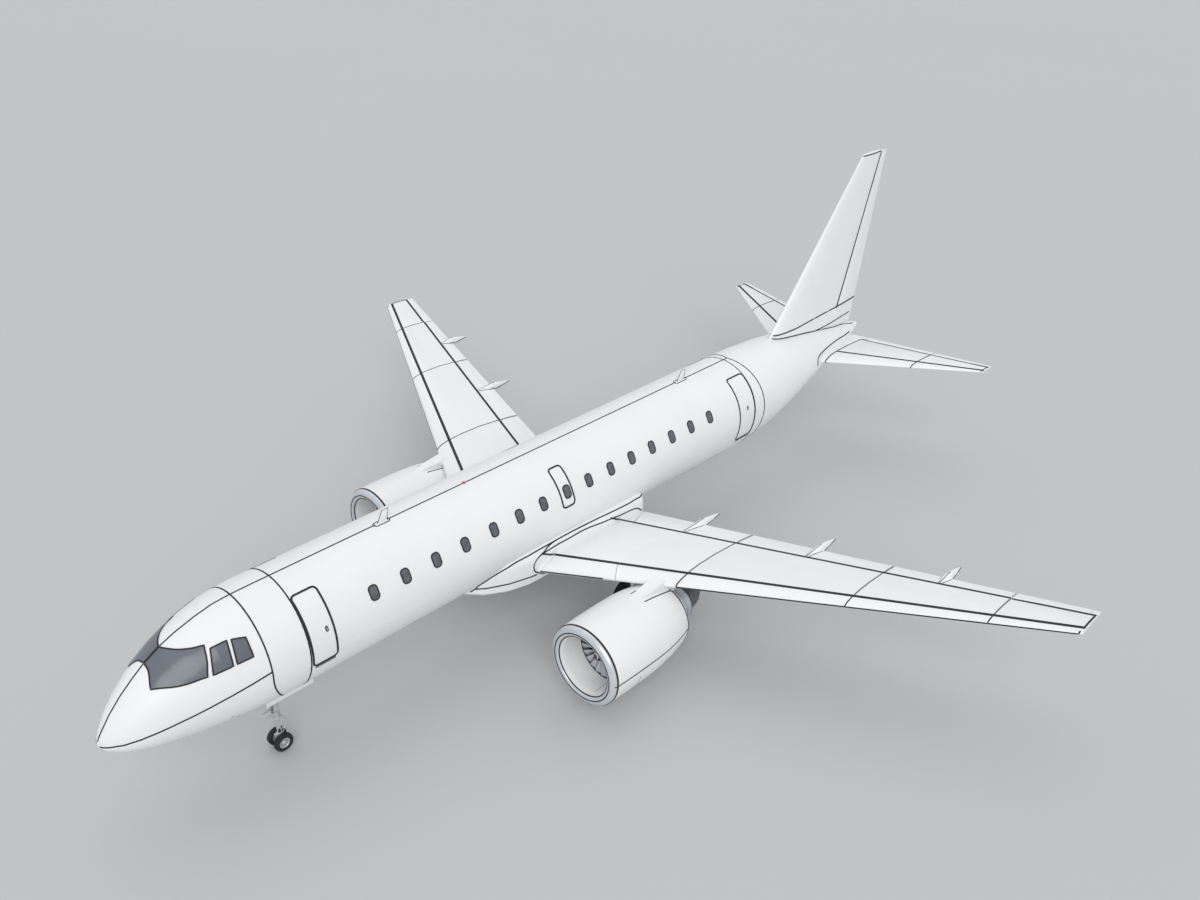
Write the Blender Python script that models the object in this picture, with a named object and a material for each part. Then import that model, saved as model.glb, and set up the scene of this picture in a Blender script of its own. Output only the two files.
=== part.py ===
"""Twin-engine regional airliner, parked on its landing gear.

Places are given as station (metres aft of the nose tip), y (metres to port of the centre line)
and z (metres above the cabin's axis). In the world +X is forward, +Y port and +Z up, and the
wheels stand on z = 0.
"""

import math

import bmesh
import bpy
from mathutils import Vector

# Driving dimensions, in metres
OVERALL_LENGTH = 36.689
NOSE_X = OVERALL_LENGTH / 2.0
AXIS_HEIGHT = 4.40
CABIN_RADIUS = 1.811
BODY_SIDES = 40
SEAT = 0.0003
PANEL_GAP = 0.008
MOVING_GAP = 0.012
PIN_REACH = 0.07
POD_SPLIT = 0.04
EAR_HALF = 0.02
EAR_WIDTH = 0.06
SPAN_TIP = 16.66
ENGINE_Y = 5.42
ENGINE_Z = -2.46
TURNED_SIDES = 28

# Fuselage sections: station, crown z, keel z, half width, z of the widest point
BODY = (
    (0.00, -0.80, -0.88, 0.04, -0.84),
    (0.06, -0.64, -0.99, 0.19, -0.83),
    (0.16, -0.49, -1.08, 0.33, -0.82),
    (0.44, -0.10, -1.23, 0.60, -0.76),
    (0.80, 0.30, -1.36, 0.82, -0.68),
    (1.20, 0.66, -1.47, 1.00, -0.58),
    (1.55, 0.94, -1.54, 1.13, -0.48),
    (2.03, 1.24, -1.62, 1.29, -0.35),
    (2.48, 1.44, -1.68, 1.42, -0.25),
    (3.06, 1.63, -1.74, 1.56, -0.15),
    (3.60, 1.76, -1.78, 1.67, -0.08),
    (4.10, 1.80, -1.80, 1.75, -0.03),
    (4.80, 1.811, -1.811, 1.811, 0.0),
    (11.60, 1.811, -1.811, 1.811, 0.0),
    (20.30, 1.811, -1.93, 1.811, 0.0),
    (23.5, 1.811, -1.99, 1.811, 0.0),
    (25.0, 1.811, -2.02, 1.811, 0.0),
    (26.2, 1.811, -2.01, 1.80, 0.01),
    (27.6, 1.79, -1.86, 1.74, 0.05),
    (29.2, 1.72, -1.40, 1.60, 0.14),
    (30.9, 1.52, -0.76, 1.36, 0.26),
    (32.6, 1.22, -0.34, 1.03, 0.36),
    (34.2, 0.93, -0.04, 0.70, 0.42),
    (35.4, 0.71, 0.16, 0.41, 0.44),
    (36.24, 0.50, 0.33, 0.10, 0.42),
)

# Fuselage shells: name, first station, last station
SHELLS = (
    ("fuselage_nose", 0.0, 4.10),
    ("fuselage_forward", 4.10, 11.60),
    ("fuselage_center", 11.60, 20.30),
    ("fuselage_aft", 20.30, 26.10),
    ("tail_cone", 26.10, 36.24),
)
# Space inside the tail cone: first and last station, and the depth of its wall with the frames
TAIL_CAVITY = (26.0, 34.2)
SHELL_WALL = 0.12

# Doors: name, shell, first and last station, lowest and highest angle above the horizontal
DOORS = (
    ("door_forward", "fuselage_forward", 5.38, 6.17, -13.0, 59.0),
    ("overwing_exit", "fuselage_center", 15.19, 15.74, 12.5, 58.3),
    ("door_aft", "fuselage_aft", 24.95, 25.92, -27.0, 59.5),
)

# Belly fairing sections: station, half width, keel z, z of the upper edge, z where the side is flat
FAIRING = (
    (11.10, 1.05, -1.50, -1.02, -1.15),
    (11.90, 1.50, -1.80, -0.80, -1.00),
    (12.70, 1.78, -1.95, -0.70, -0.99),
    (13.50, 1.90, -2.05, -0.645, -0.99),
    (14.40, 1.90, -2.10, -0.635, -0.99),
    (17.60, 1.90, -2.10, -0.72, -1.02),
    (19.11, 1.90, -2.10, -0.80, -1.08),
    (19.24, 1.84, -2.08, -0.82, -1.10),
    (19.42, 1.66, -2.05, -0.88, -1.14),
    (19.62, 1.40, -2.02, -1.00, -1.20),
    (19.85, 1.13, -1.99, -1.10, -1.25),
    (20.12, 0.93, -1.96, -1.20, -1.30),
    (21.00, 0.52, -1.89, -1.30, -1.40),
)
FAIRING_SIDE = 1.90
FAIRING_CORE = -0.42

# Colours
WHITE = ("paint_white", (0.86, 0.87, 0.89), 0.35, 0.0)
GLASS = ("glass_grey", (0.30, 0.36, 0.42), 0.12, 0.0)
LIP_METAL = ("lip_metal", (0.66, 0.70, 0.76), 0.30, 0.9)
NOZZLE_METAL = ("nozzle_metal", (0.72, 0.75, 0.79), 0.38, 0.8)
PLUG_METAL = ("plug_metal", (0.33, 0.34, 0.36), 0.45, 0.8)
FAN_METAL = ("fan_metal", (0.10, 0.11, 0.12), 0.40, 0.6)
GEAR_METAL = ("gear_metal", (0.62, 0.64, 0.66), 0.40, 0.6)
TYRE = ("tyre_rubber", (0.03, 0.03, 0.035), 0.80, 0.0)


def at(station, y, z):
    """World point for a station, a distance to port and a height above the cabin's axis."""
    return Vector((NOSE_X - station, y, AXIS_HEIGHT + z))


def straight(table, station):
    """Row of a table of sections at a station, by straight lines between its rows."""
    for low, high in zip(table, table[1:]):
        if station <= high[0]:
            break
    t = (station - low[0]) / (high[0] - low[0])
    return [a + t * (b - a) for a, b in zip(low, high)]


def material(paint):
    """Principled material of a colour entry, made once."""
    name, colour, roughness, metallic = paint
    found = bpy.data.materials.get(name)
    if found:
        return found
    made = bpy.data.materials.new(name)
    made.use_nodes = True
    shader = made.node_tree.nodes["Principled BSDF"]
    shader.inputs["Base Color"].default_value = (*colour, 1.0)
    shader.inputs["Roughness"].default_value = roughness
    shader.inputs["Metallic"].default_value = metallic
    return made


def solid(name, points, faces, paint, origin=None):
    """Object with one closed mesh, its origin at a world point."""
    origin = origin or Vector((0.0, 0.0, 0.0))
    mesh = bpy.data.meshes.new(name)
    mesh.from_pydata([p - origin for p in points], [], faces)
    bm = bmesh.new()
    bm.from_mesh(mesh)
    bmesh.ops.recalc_face_normals(bm, faces=bm.faces)
    bm.to_mesh(mesh)
    bm.free()
    mesh.shade_smooth()
    mesh.set_sharp_from_angle(angle=math.radians(28))
    mesh.materials.append(material(paint))
    made = bpy.data.objects.new(name, mesh)
    made.location = origin
    bpy.context.collection.objects.link(made)
    return made


def loft(name, rings, paint, origin=None):
    """Closed solid through rings that all have the same number of points."""
    count = len(rings[0])
    points = [p for ring in rings for p in ring]
    faces = []
    for r in range(len(rings) - 1):
        for i in range(count):
            j = (i + 1) % count
            a, b = r * count, (r + 1) * count
            faces.append((a + i, a + j, b + j))
            faces.append((a + i, b + j, b + i))
    last = (len(rings) - 1) * count
    faces.append(tuple(range(count)))
    faces.append(tuple(last + i for i in reversed(range(count))))
    return solid(name, points, faces, paint, origin)


def turned(name, profile, place, sides, paint, loop=False, origin=None):
    """Solid turned from (distance, radius) pairs; place(distance, u, v) gives the world point.

    Its flats, not its edges, face up, down and to the sides.
    """
    points, rings = [], []
    for distance, radius in profile:
        if radius == 0.0:
            rings.append([len(points)] * sides)
            points.append(place(distance, 0.0, 0.0))
            continue
        rings.append(list(range(len(points), len(points) + sides)))
        for k in range(sides):
            angle = 2.0 * math.pi * (k + 0.5) / sides
            points.append(place(distance, radius * math.cos(angle), radius * math.sin(angle)))
    pairs = list(zip(rings, rings[1:]))
    if loop:
        pairs.append((rings[-1], rings[0]))
    faces = []
    for low, high in pairs:
        for k in range(sides):
            n = (k + 1) % sides
            corners = []
            for index in (low[k], low[n], high[n], high[k]):
                if index not in corners:
                    corners.append(index)
            if len(corners) > 2:
                faces.append(tuple(corners))
    return solid(name, points, faces, paint, origin)


def around_x(y, z):
    """Placing function for a solid turned about a fore-and-aft axis."""
    return lambda station, u, v: at(station, y + u, z + v)


def around_y(station, y, z):
    """Placing function for a solid turned about an athwartships axis."""
    return lambda distance, u, v: at(station + u, y + distance, z + v)


def around_z(station, y):
    """Placing function for a solid turned about an upright axis."""
    return lambda height, u, v: at(station + u, y + v, height)


def rod(name, start, end, radius, sides, paint):
    """Round bar between two world points."""
    along = (end - start).normalized()
    across = along.orthogonal().normalized()
    other = along.cross(across)
    rings = []
    for centre in (start, end):
        ring = []
        for k in range(sides):
            angle = 2.0 * math.pi * k / sides
            ring.append(centre + radius * (math.cos(angle) * across + math.sin(angle) * other))
        rings.append(ring)
    return loft(name, rings, paint)


def block(name, low, high, paint):
    """Rectangular block between two (station, y, z) corners."""
    rings = []
    for station in (low[0], high[0]):
        corners = ((low[1], low[2]), (high[1], low[2]), (high[1], high[2]), (low[1], high[2]))
        rings.append([at(station, y, z) for y, z in corners])
    return loft(name, rings, paint)


def combine(host, tool, operation):
    """Boolean of a host and a tool; the tool stays in the file as a guide."""
    step = host.modifiers.new(operation.lower() + "_" + tool.name, "BOOLEAN")
    step.operation = operation
    step.solver = "EXACT"
    step.object = tool
    tool.hide_render = True
    tool.display_type = "WIRE"


def cut(host, tool):
    combine(host, tool, "DIFFERENCE")


def join(host, tool):
    combine(host, tool, "UNION")


def body_ring(station, grow=0.0):
    """Fuselage section at a station, made larger by grow."""
    _, crown, keel, half_width, middle = straight(BODY, station)
    ring = []
    for k in range(BODY_SIDES):
        angle = 2.0 * math.pi * k / BODY_SIDES
        height = (crown - middle) if math.sin(angle) > 0 else (middle - keel)
        y = (half_width + grow) * math.cos(angle)
        z = middle + (height + grow) * math.sin(angle)
        ring.append(at(station, y, z))
    return ring


def body_loft(name, first, last, grow=0.0):
    """Length of the fuselage between two stations."""
    inner = [row[0] for row in BODY if first + 0.01 < row[0] < last - 0.01]
    return loft(name, [body_ring(s, grow) for s in [first, *inner, last]], WHITE)


def rounded(corners, radius, steps=4):
    """Flat outline with its corners rounded, from (u, v) corners in order."""
    outline = []
    count = len(corners)
    for i in range(count):
        here = Vector(corners[i])
        back = (Vector(corners[i - 1]) - here).normalized()
        ahead = (Vector(corners[(i + 1) % count]) - here).normalized()
        half = math.acos(max(-1.0, min(1.0, back.dot(ahead)))) / 2.0
        reach = radius / math.tan(half)
        centre = here + (back + ahead).normalized() * radius / math.sin(half)
        start = here + back * reach - centre
        turn = math.pi - 2.0 * half
        side = 1.0 if back.x * ahead.y - back.y * ahead.x < 0 else -1.0
        for k in range(steps + 1):
            a = side * turn * k / steps
            u = start.x * math.cos(a) - start.y * math.sin(a)
            v = start.x * math.sin(a) + start.y * math.cos(a)
            outline.append((centre.x + u, centre.y + v))
    return outline


def inlay(shell, name, corners, radius, frame, depth, paint, gap=PANEL_GAP):
    """Panel set flush in a shell: corners (u, v) lie in frame (centre, u axis, v axis, outward)."""
    centre, along, up, outward = frame

    def prism(label, shrink, floor):
        outline = rounded(corners, radius)
        mid_u = sum(u for u, v in outline) / len(outline)
        mid_v = sum(v for u, v in outline) / len(outline)
        rings = []
        for level in (floor, 1.2):
            ring = []
            for u, v in outline:
                size = math.hypot(u - mid_u, v - mid_v)
                k = 1.0 - shrink / size
                u, v = mid_u + k * (u - mid_u), mid_v + k * (v - mid_v)
                ring.append(centre + along * u + up * v + outward * level)
            rings.append(ring)
        return loft(label, rings, paint)

    panel = bpy.data.objects.new(name, shell.data.copy())
    panel.location = shell.location
    panel.data.materials[0] = material(paint)
    bpy.context.collection.objects.link(panel)
    combine(panel, prism(name + "_outline", gap, -depth + SEAT), "INTERSECT")
    cut(shell, prism(name + "_pocket", 0.0, -depth))
    return panel


class Foil:
    """Straight-edged surface: its edges and thickness run straight from root to tip.

    root and tip are (span, leading station, trailing station, height, thickness ratio).
    """

    EDGE = 0.006

    def __init__(self, root, tip, side=1, camber=0.0, upright=False, swell=0.0):
        self.root = (root[0], root[1] - 2.0 * swell, root[2] + 2.0 * swell, *root[3:])
        self.tip = (tip[0], tip[1] - 2.0 * swell, tip[2] + 2.0 * swell, *tip[3:])
        self.side = side
        self.camber = camber
        self.upright = upright
        self.swell = swell

    def at_span(self, span):
        t = (span - self.root[0]) / (self.tip[0] - self.root[0])
        return [a + t * (b - a) for a, b in zip(self.root, self.tip)][1:]

    def fraction(self, station, span):
        lead, trail, _, _ = self.at_span(span)
        return (station - lead) / (trail - lead)

    def middle(self, station, span):
        lead, trail, height, _ = self.at_span(span)
        x = (station - lead) / (trail - lead)
        return height + (trail - lead) * self.camber * 4.0 * x * (1.0 - x)

    def half(self, station, span):
        lead, trail, _, ratio = self.at_span(span)
        x = max(0.0, min(1.0, (station - lead) / (trail - lead)))
        shape = 0.2969 * math.sqrt(x) - 0.126 * x - 0.3516 * x**2 + 0.2843 * x**3 - 0.1036 * x**4
        return 5.0 * ratio * (trail - lead) * shape + self.EDGE * x + self.swell

    def place(self, station, span, offset):
        """World point at a station and span, offset from the middle plane."""
        height = self.middle(station, span)
        if self.upright:
            return at(station, offset, span)
        return at(station, self.side * span, height + offset)

    def skin(self, station, span, face):
        """World point on the upper (+1) or lower (-1) skin."""
        return self.place(station, span, face * self.half(station, span))


class Line:
    """Straight line across a surface: station as a function of span."""

    def __init__(self, first, last):
        self.span = first[0]
        self.station = first[1]
        self.slope = (last[1] - first[1]) / (last[0] - first[0])
        self.cosine = math.cos(math.atan(self.slope))

    def __call__(self, span):
        return self.station + self.slope * (span - self.span)


BOX_STEPS = (0.0, 0.2, 0.55, 1.0)
FRONT_STEPS = (0.5, 0.17, 0.03)
ARC_STEPS = 6


def arc(foil, hinge, span, radius, lead):
    """Half round about a hinge from the upper to the lower skin, opening aft."""
    points = []
    for k in range(ARC_STEPS + 1):
        angle = lead + (2.0 * math.pi - 2.0 * lead) * k / ARC_STEPS
        station = hinge(span) + radius * math.cos(angle) / hinge.cosine
        offset = radius * math.sin(angle)
        centre = foil.middle(hinge(span), span)
        bend = centre - foil.middle(station, span)
        points.append(foil.place(station, span, offset + (0.0 if foil.upright else bend)))
    return points


def front_cap(foil, span, nose, line, skew):
    """Points from the upper to the lower skin ahead of the box: a leading edge or a cove."""
    lead = foil.at_span(span)[0]
    points = []
    if nose == "edge":
        for face, steps in ((1, FRONT_STEPS), (-1, FRONT_STEPS[::-1])):
            for x in steps:
                station = lead + x * (line(span) - lead)
                shifted = span + skew * (line(span) - station)
                start = foil.at_span(shifted)[0]
                points.append(foil.skin(start + x * (line(shifted) - start), shifted, face))
            if face == 1:
                shifted = span + skew * (line(span) - lead)
                points.append(foil.skin(foil.at_span(shifted)[0], shifted, 1))
        return points
    count = 2 * len(FRONT_STEPS) + 1
    station = line(span) + MOVING_GAP
    half = foil.half(station, span)
    for k in range(count):
        points.append(foil.place(station, span, half * (1.0 - 2.0 * (k + 1) / (count + 1))))
    return points


def rear_cap(foil, span, tail, line, skew):
    """Points from the lower to the upper skin behind the box: an edge, a flat or a hinge cove."""
    trail = foil.at_span(span)[1]
    count = ARC_STEPS + 1
    points = []
    if tail == "edge":
        for k in range(count):
            x = 1.0 - abs(2.0 * (k + 1) / (count + 1) - 1.0)
            face = -1 if k < count // 2 else 1
            station = line(span) + x * (trail - line(span))
            shifted = span - skew * (station - line(span))
            start, end = line(shifted), foil.at_span(shifted)[1]
            points.append(foil.skin(start + x * (end - start), shifted, face if x < 1.0 else 0))
        return points
    if tail == "hinge":
        radius = foil.half(line(span), span)
        wide = radius + MOVING_GAP + 0.03 * radius
        lead = math.pi - math.asin(radius / wide)
        return arc(foil, line, span, wide, lead)[::-1]
    station = line(span) - MOVING_GAP
    half = foil.half(station, span)
    for k in range(count):
        points.append(foil.place(station, span, half * (2.0 * (k + 1) / (count + 1) - 1.0)))
    return points


def box_ring(foil, span, front, rear, nose, tail, front_skew=0.0, rear_skew=0.0):
    """Section of the fixed part of a surface between its front line and its rear line."""
    first = front(span) + (MOVING_GAP if nose == "cove" else 0.0)
    last = rear(span)
    if tail == "flat":
        last = rear(span) - MOVING_GAP
    if tail == "hinge":
        radius = foil.half(rear(span), span)
        last = rear(span) - 1.08 * (radius * 1.03 + MOVING_GAP) / rear.cosine
    stations = [first + x * (last - first) for x in BOX_STEPS]
    upper = [foil.skin(s, span, 1) for s in reversed(stations)]
    lower = [foil.skin(s, span, -1) for s in stations]
    ahead = front_cap(foil, span, nose, front, front_skew)
    behind = rear_cap(foil, span, tail, rear, rear_skew)
    return upper + ahead + lower + behind


def nose_piece_ring(foil, span, line, skew=0.0):
    """Section of a slat: the leading edge ahead of its line."""
    lead = foil.at_span(span)[0]
    points = []
    for face, steps in ((1, FRONT_STEPS), (-1, FRONT_STEPS[::-1])):
        if face == 1:
            points.append(foil.skin(line(span), span, 1))
        for x in steps:
            station = lead + x * (line(span) - lead)
            shifted = span + skew * (line(span) - station)
            start = foil.at_span(shifted)[0]
            points.append(foil.skin(start + x * (line(shifted) - start), shifted, face))
        if face == 1:
            shifted = span + skew * (line(span) - lead)
            points.append(foil.skin(foil.at_span(shifted)[0], shifted, 1))
    points.append(foil.skin(line(span), span, -1))
    return points


def flap_ring(foil, span, line, skew=0.0):
    """Section of a flap: a round nose at its line, then the trailing part of the surface."""
    trail = foil.at_span(span)[1]
    half = foil.half(line(span), span)
    points = []

    def skin_point(x, face):
        station = line(span) + x * (trail - line(span))
        shifted = span - skew * (station - line(span))
        start, end = line(shifted), foil.at_span(shifted)[1]
        return foil.skin(start + x * (end - start), shifted, face)

    for x in (1.0, 0.6, 0.25):
        points.append(skin_point(x, 1))
    for height, back in ((0.75, 0.35), (0.3, 0.0), (-0.4, 0.0), (-0.8, 0.25)):
        points.append(foil.place(line(span) + back * half, span, height * half))
    for x in (0.2, 0.6, 1.0):
        points.append(skin_point(x, -1))
    return points


def hinged_ring(foil, span, hinge):
    """Section of a control surface: a half-round nose on its hinge, then the trailing part."""
    trail = foil.at_span(span)[1]
    radius = foil.half(hinge(span), span)
    nose = arc(foil, hinge, span, radius, math.pi / 2.0)
    stations = [hinge(span) + x * (trail - hinge(span)) for x in (0.5, 1.0)]
    upper = [foil.skin(s, span, 1) for s in reversed(stations)]
    lower = [foil.skin(s, span, -1) for s in stations]
    return upper + nose + lower


# Wing: span, leading station, trailing station, height and thickness ratio at root and tip
WING_ROOT = (1.81, 13.84, 19.09, -1.42, 0.125)
WING_TIP = (SPAN_TIP, 21.83, 23.315, 0.073, 0.100)
SLAT_LINE = Line((5.96, 16.64), (16.61, 22.04))
FLAP_LINE = Line((5.99, 19.33), (16.62, 23.01))
WING_CAMBER = 0.012
WING_FOOT = FAIRING_SIDE + SEAT

# Slats: name, first span, last span, whether the outer end is square to the hinge
SLATS = (
    ("slat_inner", 2.02, 3.90, True),
    ("slat_outer", 5.98, SPAN_TIP, False),
)
# Flaps: name, first span, last span, whether the inner end is square to the hinge
FLAPS = (
    ("flap_inner", 2.42, 5.98, True),
    ("flap_middle", 5.98, 10.66, False),
    ("flap_outer", 10.66, 14.34, False),
)
AILERON = (14.36, 16.44)
FLAP_DROP = 0.36
SLAT_DROP = 0.50
SLAT_BACK = 0.30

# Flap-track pods: span, reach ahead of the flap line, reach behind the trailing edge
PODS = (
    (4.15, 1.25, 1.00),
    (8.25, 1.15, 0.98),
    (12.30, 1.00, 0.86),
)
POD_DEPTH = 0.30

# Jacking points: station, y, lowest z of the pad
WING_JACK = (16.90, 3.90, -1.56)
NOSE_JACK = (3.40, 0.0, -1.80)
JACK_RADIUS = 0.09


def make_fuselage():
    """Shells of the fuselage, with the doors and the cockpit windows let into them."""
    shells = {}
    for name, first, last in SHELLS:
        start = first + (SEAT if first > 0 else 0.0)
        shells[name] = body_loft(name, start, last)
    for name, shell, first, last, low, high in DOORS:
        for label, side in (("_left", 1), ("_right", -1)):
            middle = math.radians((low + high) / 2.0)
            reach = CABIN_RADIUS * math.sin(math.radians(high - low) / 2.0)
            outward = Vector((0.0, side * math.cos(middle), math.sin(middle)))
            up = Vector((0.0, -side * math.sin(middle), math.cos(middle)))
            centre = at((first + last) / 2.0, 0.0, 0.0) + outward * CABIN_RADIUS
            half = (last - first) / 2.0
            corners = [(-half, -reach), (half, -reach), (half, reach), (-half, reach)]
            depth = CABIN_RADIUS * (1.0 - math.cos(math.radians(high - low) / 2.0)) + 0.06
            frame = (centre, Vector((1.0, 0.0, 0.0)), up, outward)
            inlay(shells[shell], name + label, corners, 0.12, frame, depth, WHITE)
    station, y, low = NOSE_JACK
    join(shells["fuselage_nose"], jack_pad("nose_jack", station, y, low, low + 0.25))
    return shells


# Cockpit panes: name, outward direction (forward, port, up), corners (station, y, z) on the skin
PANES = (
    ("windscreen", (0.55, 0.0, 0.835),
     ((1.581, 0.02, 0.959), (1.538, 0.304, 0.878), (1.387, 0.608, 0.572), (1.972, 1.011, 0.585),
      (2.62, 1.257, 0.635), (2.754, 1.08, 0.988), (2.867, 0.814, 1.292), (2.554, 0.663, 1.273),
      (2.278, 0.434, 1.264), (2.084, 0.146, 1.254), (2.037, 0.02, 1.243))),
    ("side_window_front", (0.26, 0.78, 0.56),
     ((2.95, 0.95, 1.215), (3.377, 1.04, 1.286), (3.274, 1.424, 0.707), (2.755, 1.30, 0.637))),
    ("side_window_rear", (0.21, 0.81, 0.55),
     ((3.487, 1.084, 1.281), (3.827, 1.211, 1.236), (3.814, 1.522, 0.767), (3.377, 1.445, 0.721))),
)
PANE_THICKNESS = 0.06
PANE_CORNER = 0.025


def make_cockpit_glass(shell):
    """Windscreen panes and side windows, each flush in a pocket of the nose."""
    for name, direction, corners in PANES:
        for label, side in (("_left", 1), ("_right", -1)):
            out = Vector((direction[0], side * direction[1], direction[2])).normalized()
            along = Vector((0.0, 0.0, 1.0)).cross(out).normalized()
            up = out.cross(along)
            places = [at(station, side * y, z) for station, y, z in corners]
            centre = sum(places, Vector()) / len(places)
            shape = [((p - centre).dot(along), (p - centre).dot(up)) for p in places]
            depth = PANE_THICKNESS - min((p - centre).dot(out) for p in places)
            inlay(shell, name + label, shape, PANE_CORNER, (centre, along, up, out), depth, GLASS)


# Landing gear
NOSE_GEAR = {"station": 4.95, "wheel_radius": 0.305, "half_track": 0.19, "half_width": 0.085}
MAIN_GEAR = {"station": 17.55, "y": 2.97, "wheel_radius": 0.52, "half_track": 0.31,
             "half_width": 0.18}
BAY = {"first": 4.45, "last": 6.05, "half_width": 0.42, "roof": -1.30}
WHEEL_SIDES = 24
# Recesses for the wheels and legs in the belly fairing
WELL = {"y": 0.72, "radius": 0.58, "roof": -1.955, "slot": 0.20}


def make_fairing():
    """Belly fairing under the wing box, hollowed to fit the cabin's shell."""
    low = ((0.0, 1.0), (0.45, 1.0), (0.75, 0.97), (0.92, 0.90), (1.0, 0.82))
    high = ((1.0, 1.0), (0.93, 0.65), (0.75, 0.40), (0.42, 0.17), (0.0, 0.0))
    rings = []
    for station, half_width, keel, top, side in FAIRING:
        depth = straight(BODY, station)[2]
        edge = min(CABIN_RADIUS * math.sqrt(1.0 - (top / depth) ** 2) - 0.012, 0.93 * half_width)
        half = [(half_width * u, FAIRING_CORE + v * (keel - FAIRING_CORE)) for u, v in low]
        half += [(edge + u * (half_width - edge), top + v * (side - top)) for u, v in high]
        half.append((0.6 * edge, FAIRING_CORE))
        mirrored = [(-y, z) for y, z in reversed(half[1:])]
        rings.append([at(station, y, z) for y, z in half + mirrored])
    fairing = loft("belly_fairing", rings, WHITE)
    cut(fairing, body_loft("cabin_clearance", 4.80, 23.5, SEAT))
    station = MAIN_GEAR["station"]
    for label, side in (("_left", 1), ("_right", -1)):
        profile = ((-2.30, 0.0), (-2.30, WELL["radius"]), (WELL["roof"], WELL["radius"]),
                   (WELL["roof"], 0.0))
        place = around_z(station, side * WELL["y"])
        cut(fairing, turned("wheel_well" + label, profile, place, TURNED_SIDES, WHITE))
        inner, outer = sorted((side * WELL["y"], side * 2.2))
        half = WELL["slot"]
        cut(fairing, block("leg_slot" + label, (station - half, inner, -2.30),
                           (station + half, outer, WELL["roof"]), WHITE))


def wing_foil(side, swell=0.0):
    return Foil(WING_ROOT, WING_TIP, side, WING_CAMBER, swell=swell)


def line_frame(foil, line, first, last, span, drop=0.0):
    """Point on a line across a surface at a span, with the directions along it, aft of it and up."""
    ends = [foil.place(line(s), s, -drop) for s in (first, last)]
    along = (ends[1] - ends[0]).normalized()
    point = ends[0] + (ends[1] - ends[0]) * (span - first) / (last - first)
    side = Vector((0.0, 1.0, 0.0)) if foil.upright else Vector((0.0, 0.0, -foil.side))
    aft = along.cross(side).normalized()
    up = aft.cross(along) * (-1.0 if foil.side < 0 else 1.0)
    return point, along, aft, up


def cuboid(name, frame, u, v, w, paint):
    """Block with its ranges along, aft and up in a frame."""
    point, along, aft, up = frame
    rings = []
    for a in u:
        corners = ((v[0], w[0]), (v[1], w[0]), (v[1], w[1]), (v[0], w[1]))
        rings.append([point + along * a + aft * b + up * c for b, c in corners])
    return loft(name, rings, paint)


def hinge_pin(name, fixed, mover, frame, towards, radius):
    """Two stubs on a hinge's axis that meet end to end: one on the fixed piece, one on the mover."""
    point, along = frame[0], frame[1] * towards
    length = PIN_REACH
    join(fixed, rod(name + "_fixed", point + along * SEAT / 2, point + along * length, radius, 10, WHITE))
    join(mover, rod(name + "_mover", point - along * SEAT / 2, point - along * length, radius, 10, WHITE))


def pod_ring(foil, span, station, half_width, top, bottom, sides=10):
    """Section of a flap-track pod, parallel to the flap line, measured from the middle plane."""
    ring = []
    middle = foil.middle(min(station, foil.at_span(span)[1]), span)
    for k in range(sides):
        angle = 2.0 * math.pi * (k + 0.5) / sides
        height = (top + bottom) / 2.0 + (top - bottom) / 2.0 * math.sin(angle)
        offset = half_width * math.cos(angle)
        swept = station + FLAP_LINE.slope * offset
        ring.append(at(swept, foil.side * (span + offset), middle + height))
    return ring


def wing_rings(side, swell=0.0):
    """Sections of the wing box with its fixed edges, made thicker by swell on both skins."""
    foil = wing_foil(side, swell)
    step = 0.002
    slat_skew = SLAT_LINE.slope
    inner_slat, outer_slat = SLATS
    slat_in, slat_out = inner_slat[1] - MOVING_GAP, inner_slat[2] + MOVING_GAP
    next_slat = outer_slat[1] - MOVING_GAP
    flap_start = FLAPS[0][1] - MOVING_GAP
    last_flap, last_aileron = AILERON[0] - 0.011, AILERON[1] + 0.022
    # Bay changes: span, leading part, trailing part, skew of the leading and the trailing end
    rows = (
        (WING_FOOT, "edge", "edge"),
        (slat_in - step, "edge", "edge"),
        (slat_in, "cove", "edge"),
        (flap_start - step, "cove", "edge", 0.0, FLAP_LINE.slope),
        (flap_start, "cove", "flat"),
        (slat_out, "cove", "flat"),
        (slat_out + step, "edge", "flat", slat_skew),
        (next_slat - step, "edge", "flat"),
        (next_slat, "cove", "flat"),
        (last_flap, "cove", "flat"),
        (last_flap + step, "cove", "hinge"),
        (last_aileron, "cove", "hinge"),
        (last_aileron + step, "cove", "edge"),
        (SPAN_TIP, "cove", "edge"),
    )
    return [box_ring(foil, row[0], SLAT_LINE, FLAP_LINE, *row[1:]) for row in rows]


def jack_pad(name, station, y, low, high):
    """Round pad with a flat lower face, for a jack."""
    profile = ((low, 0.0), (low, JACK_RADIUS), (high, JACK_RADIUS + 0.03), (high, 0.0))
    return turned(name, profile, around_z(station, y), 16, WHITE)


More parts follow.
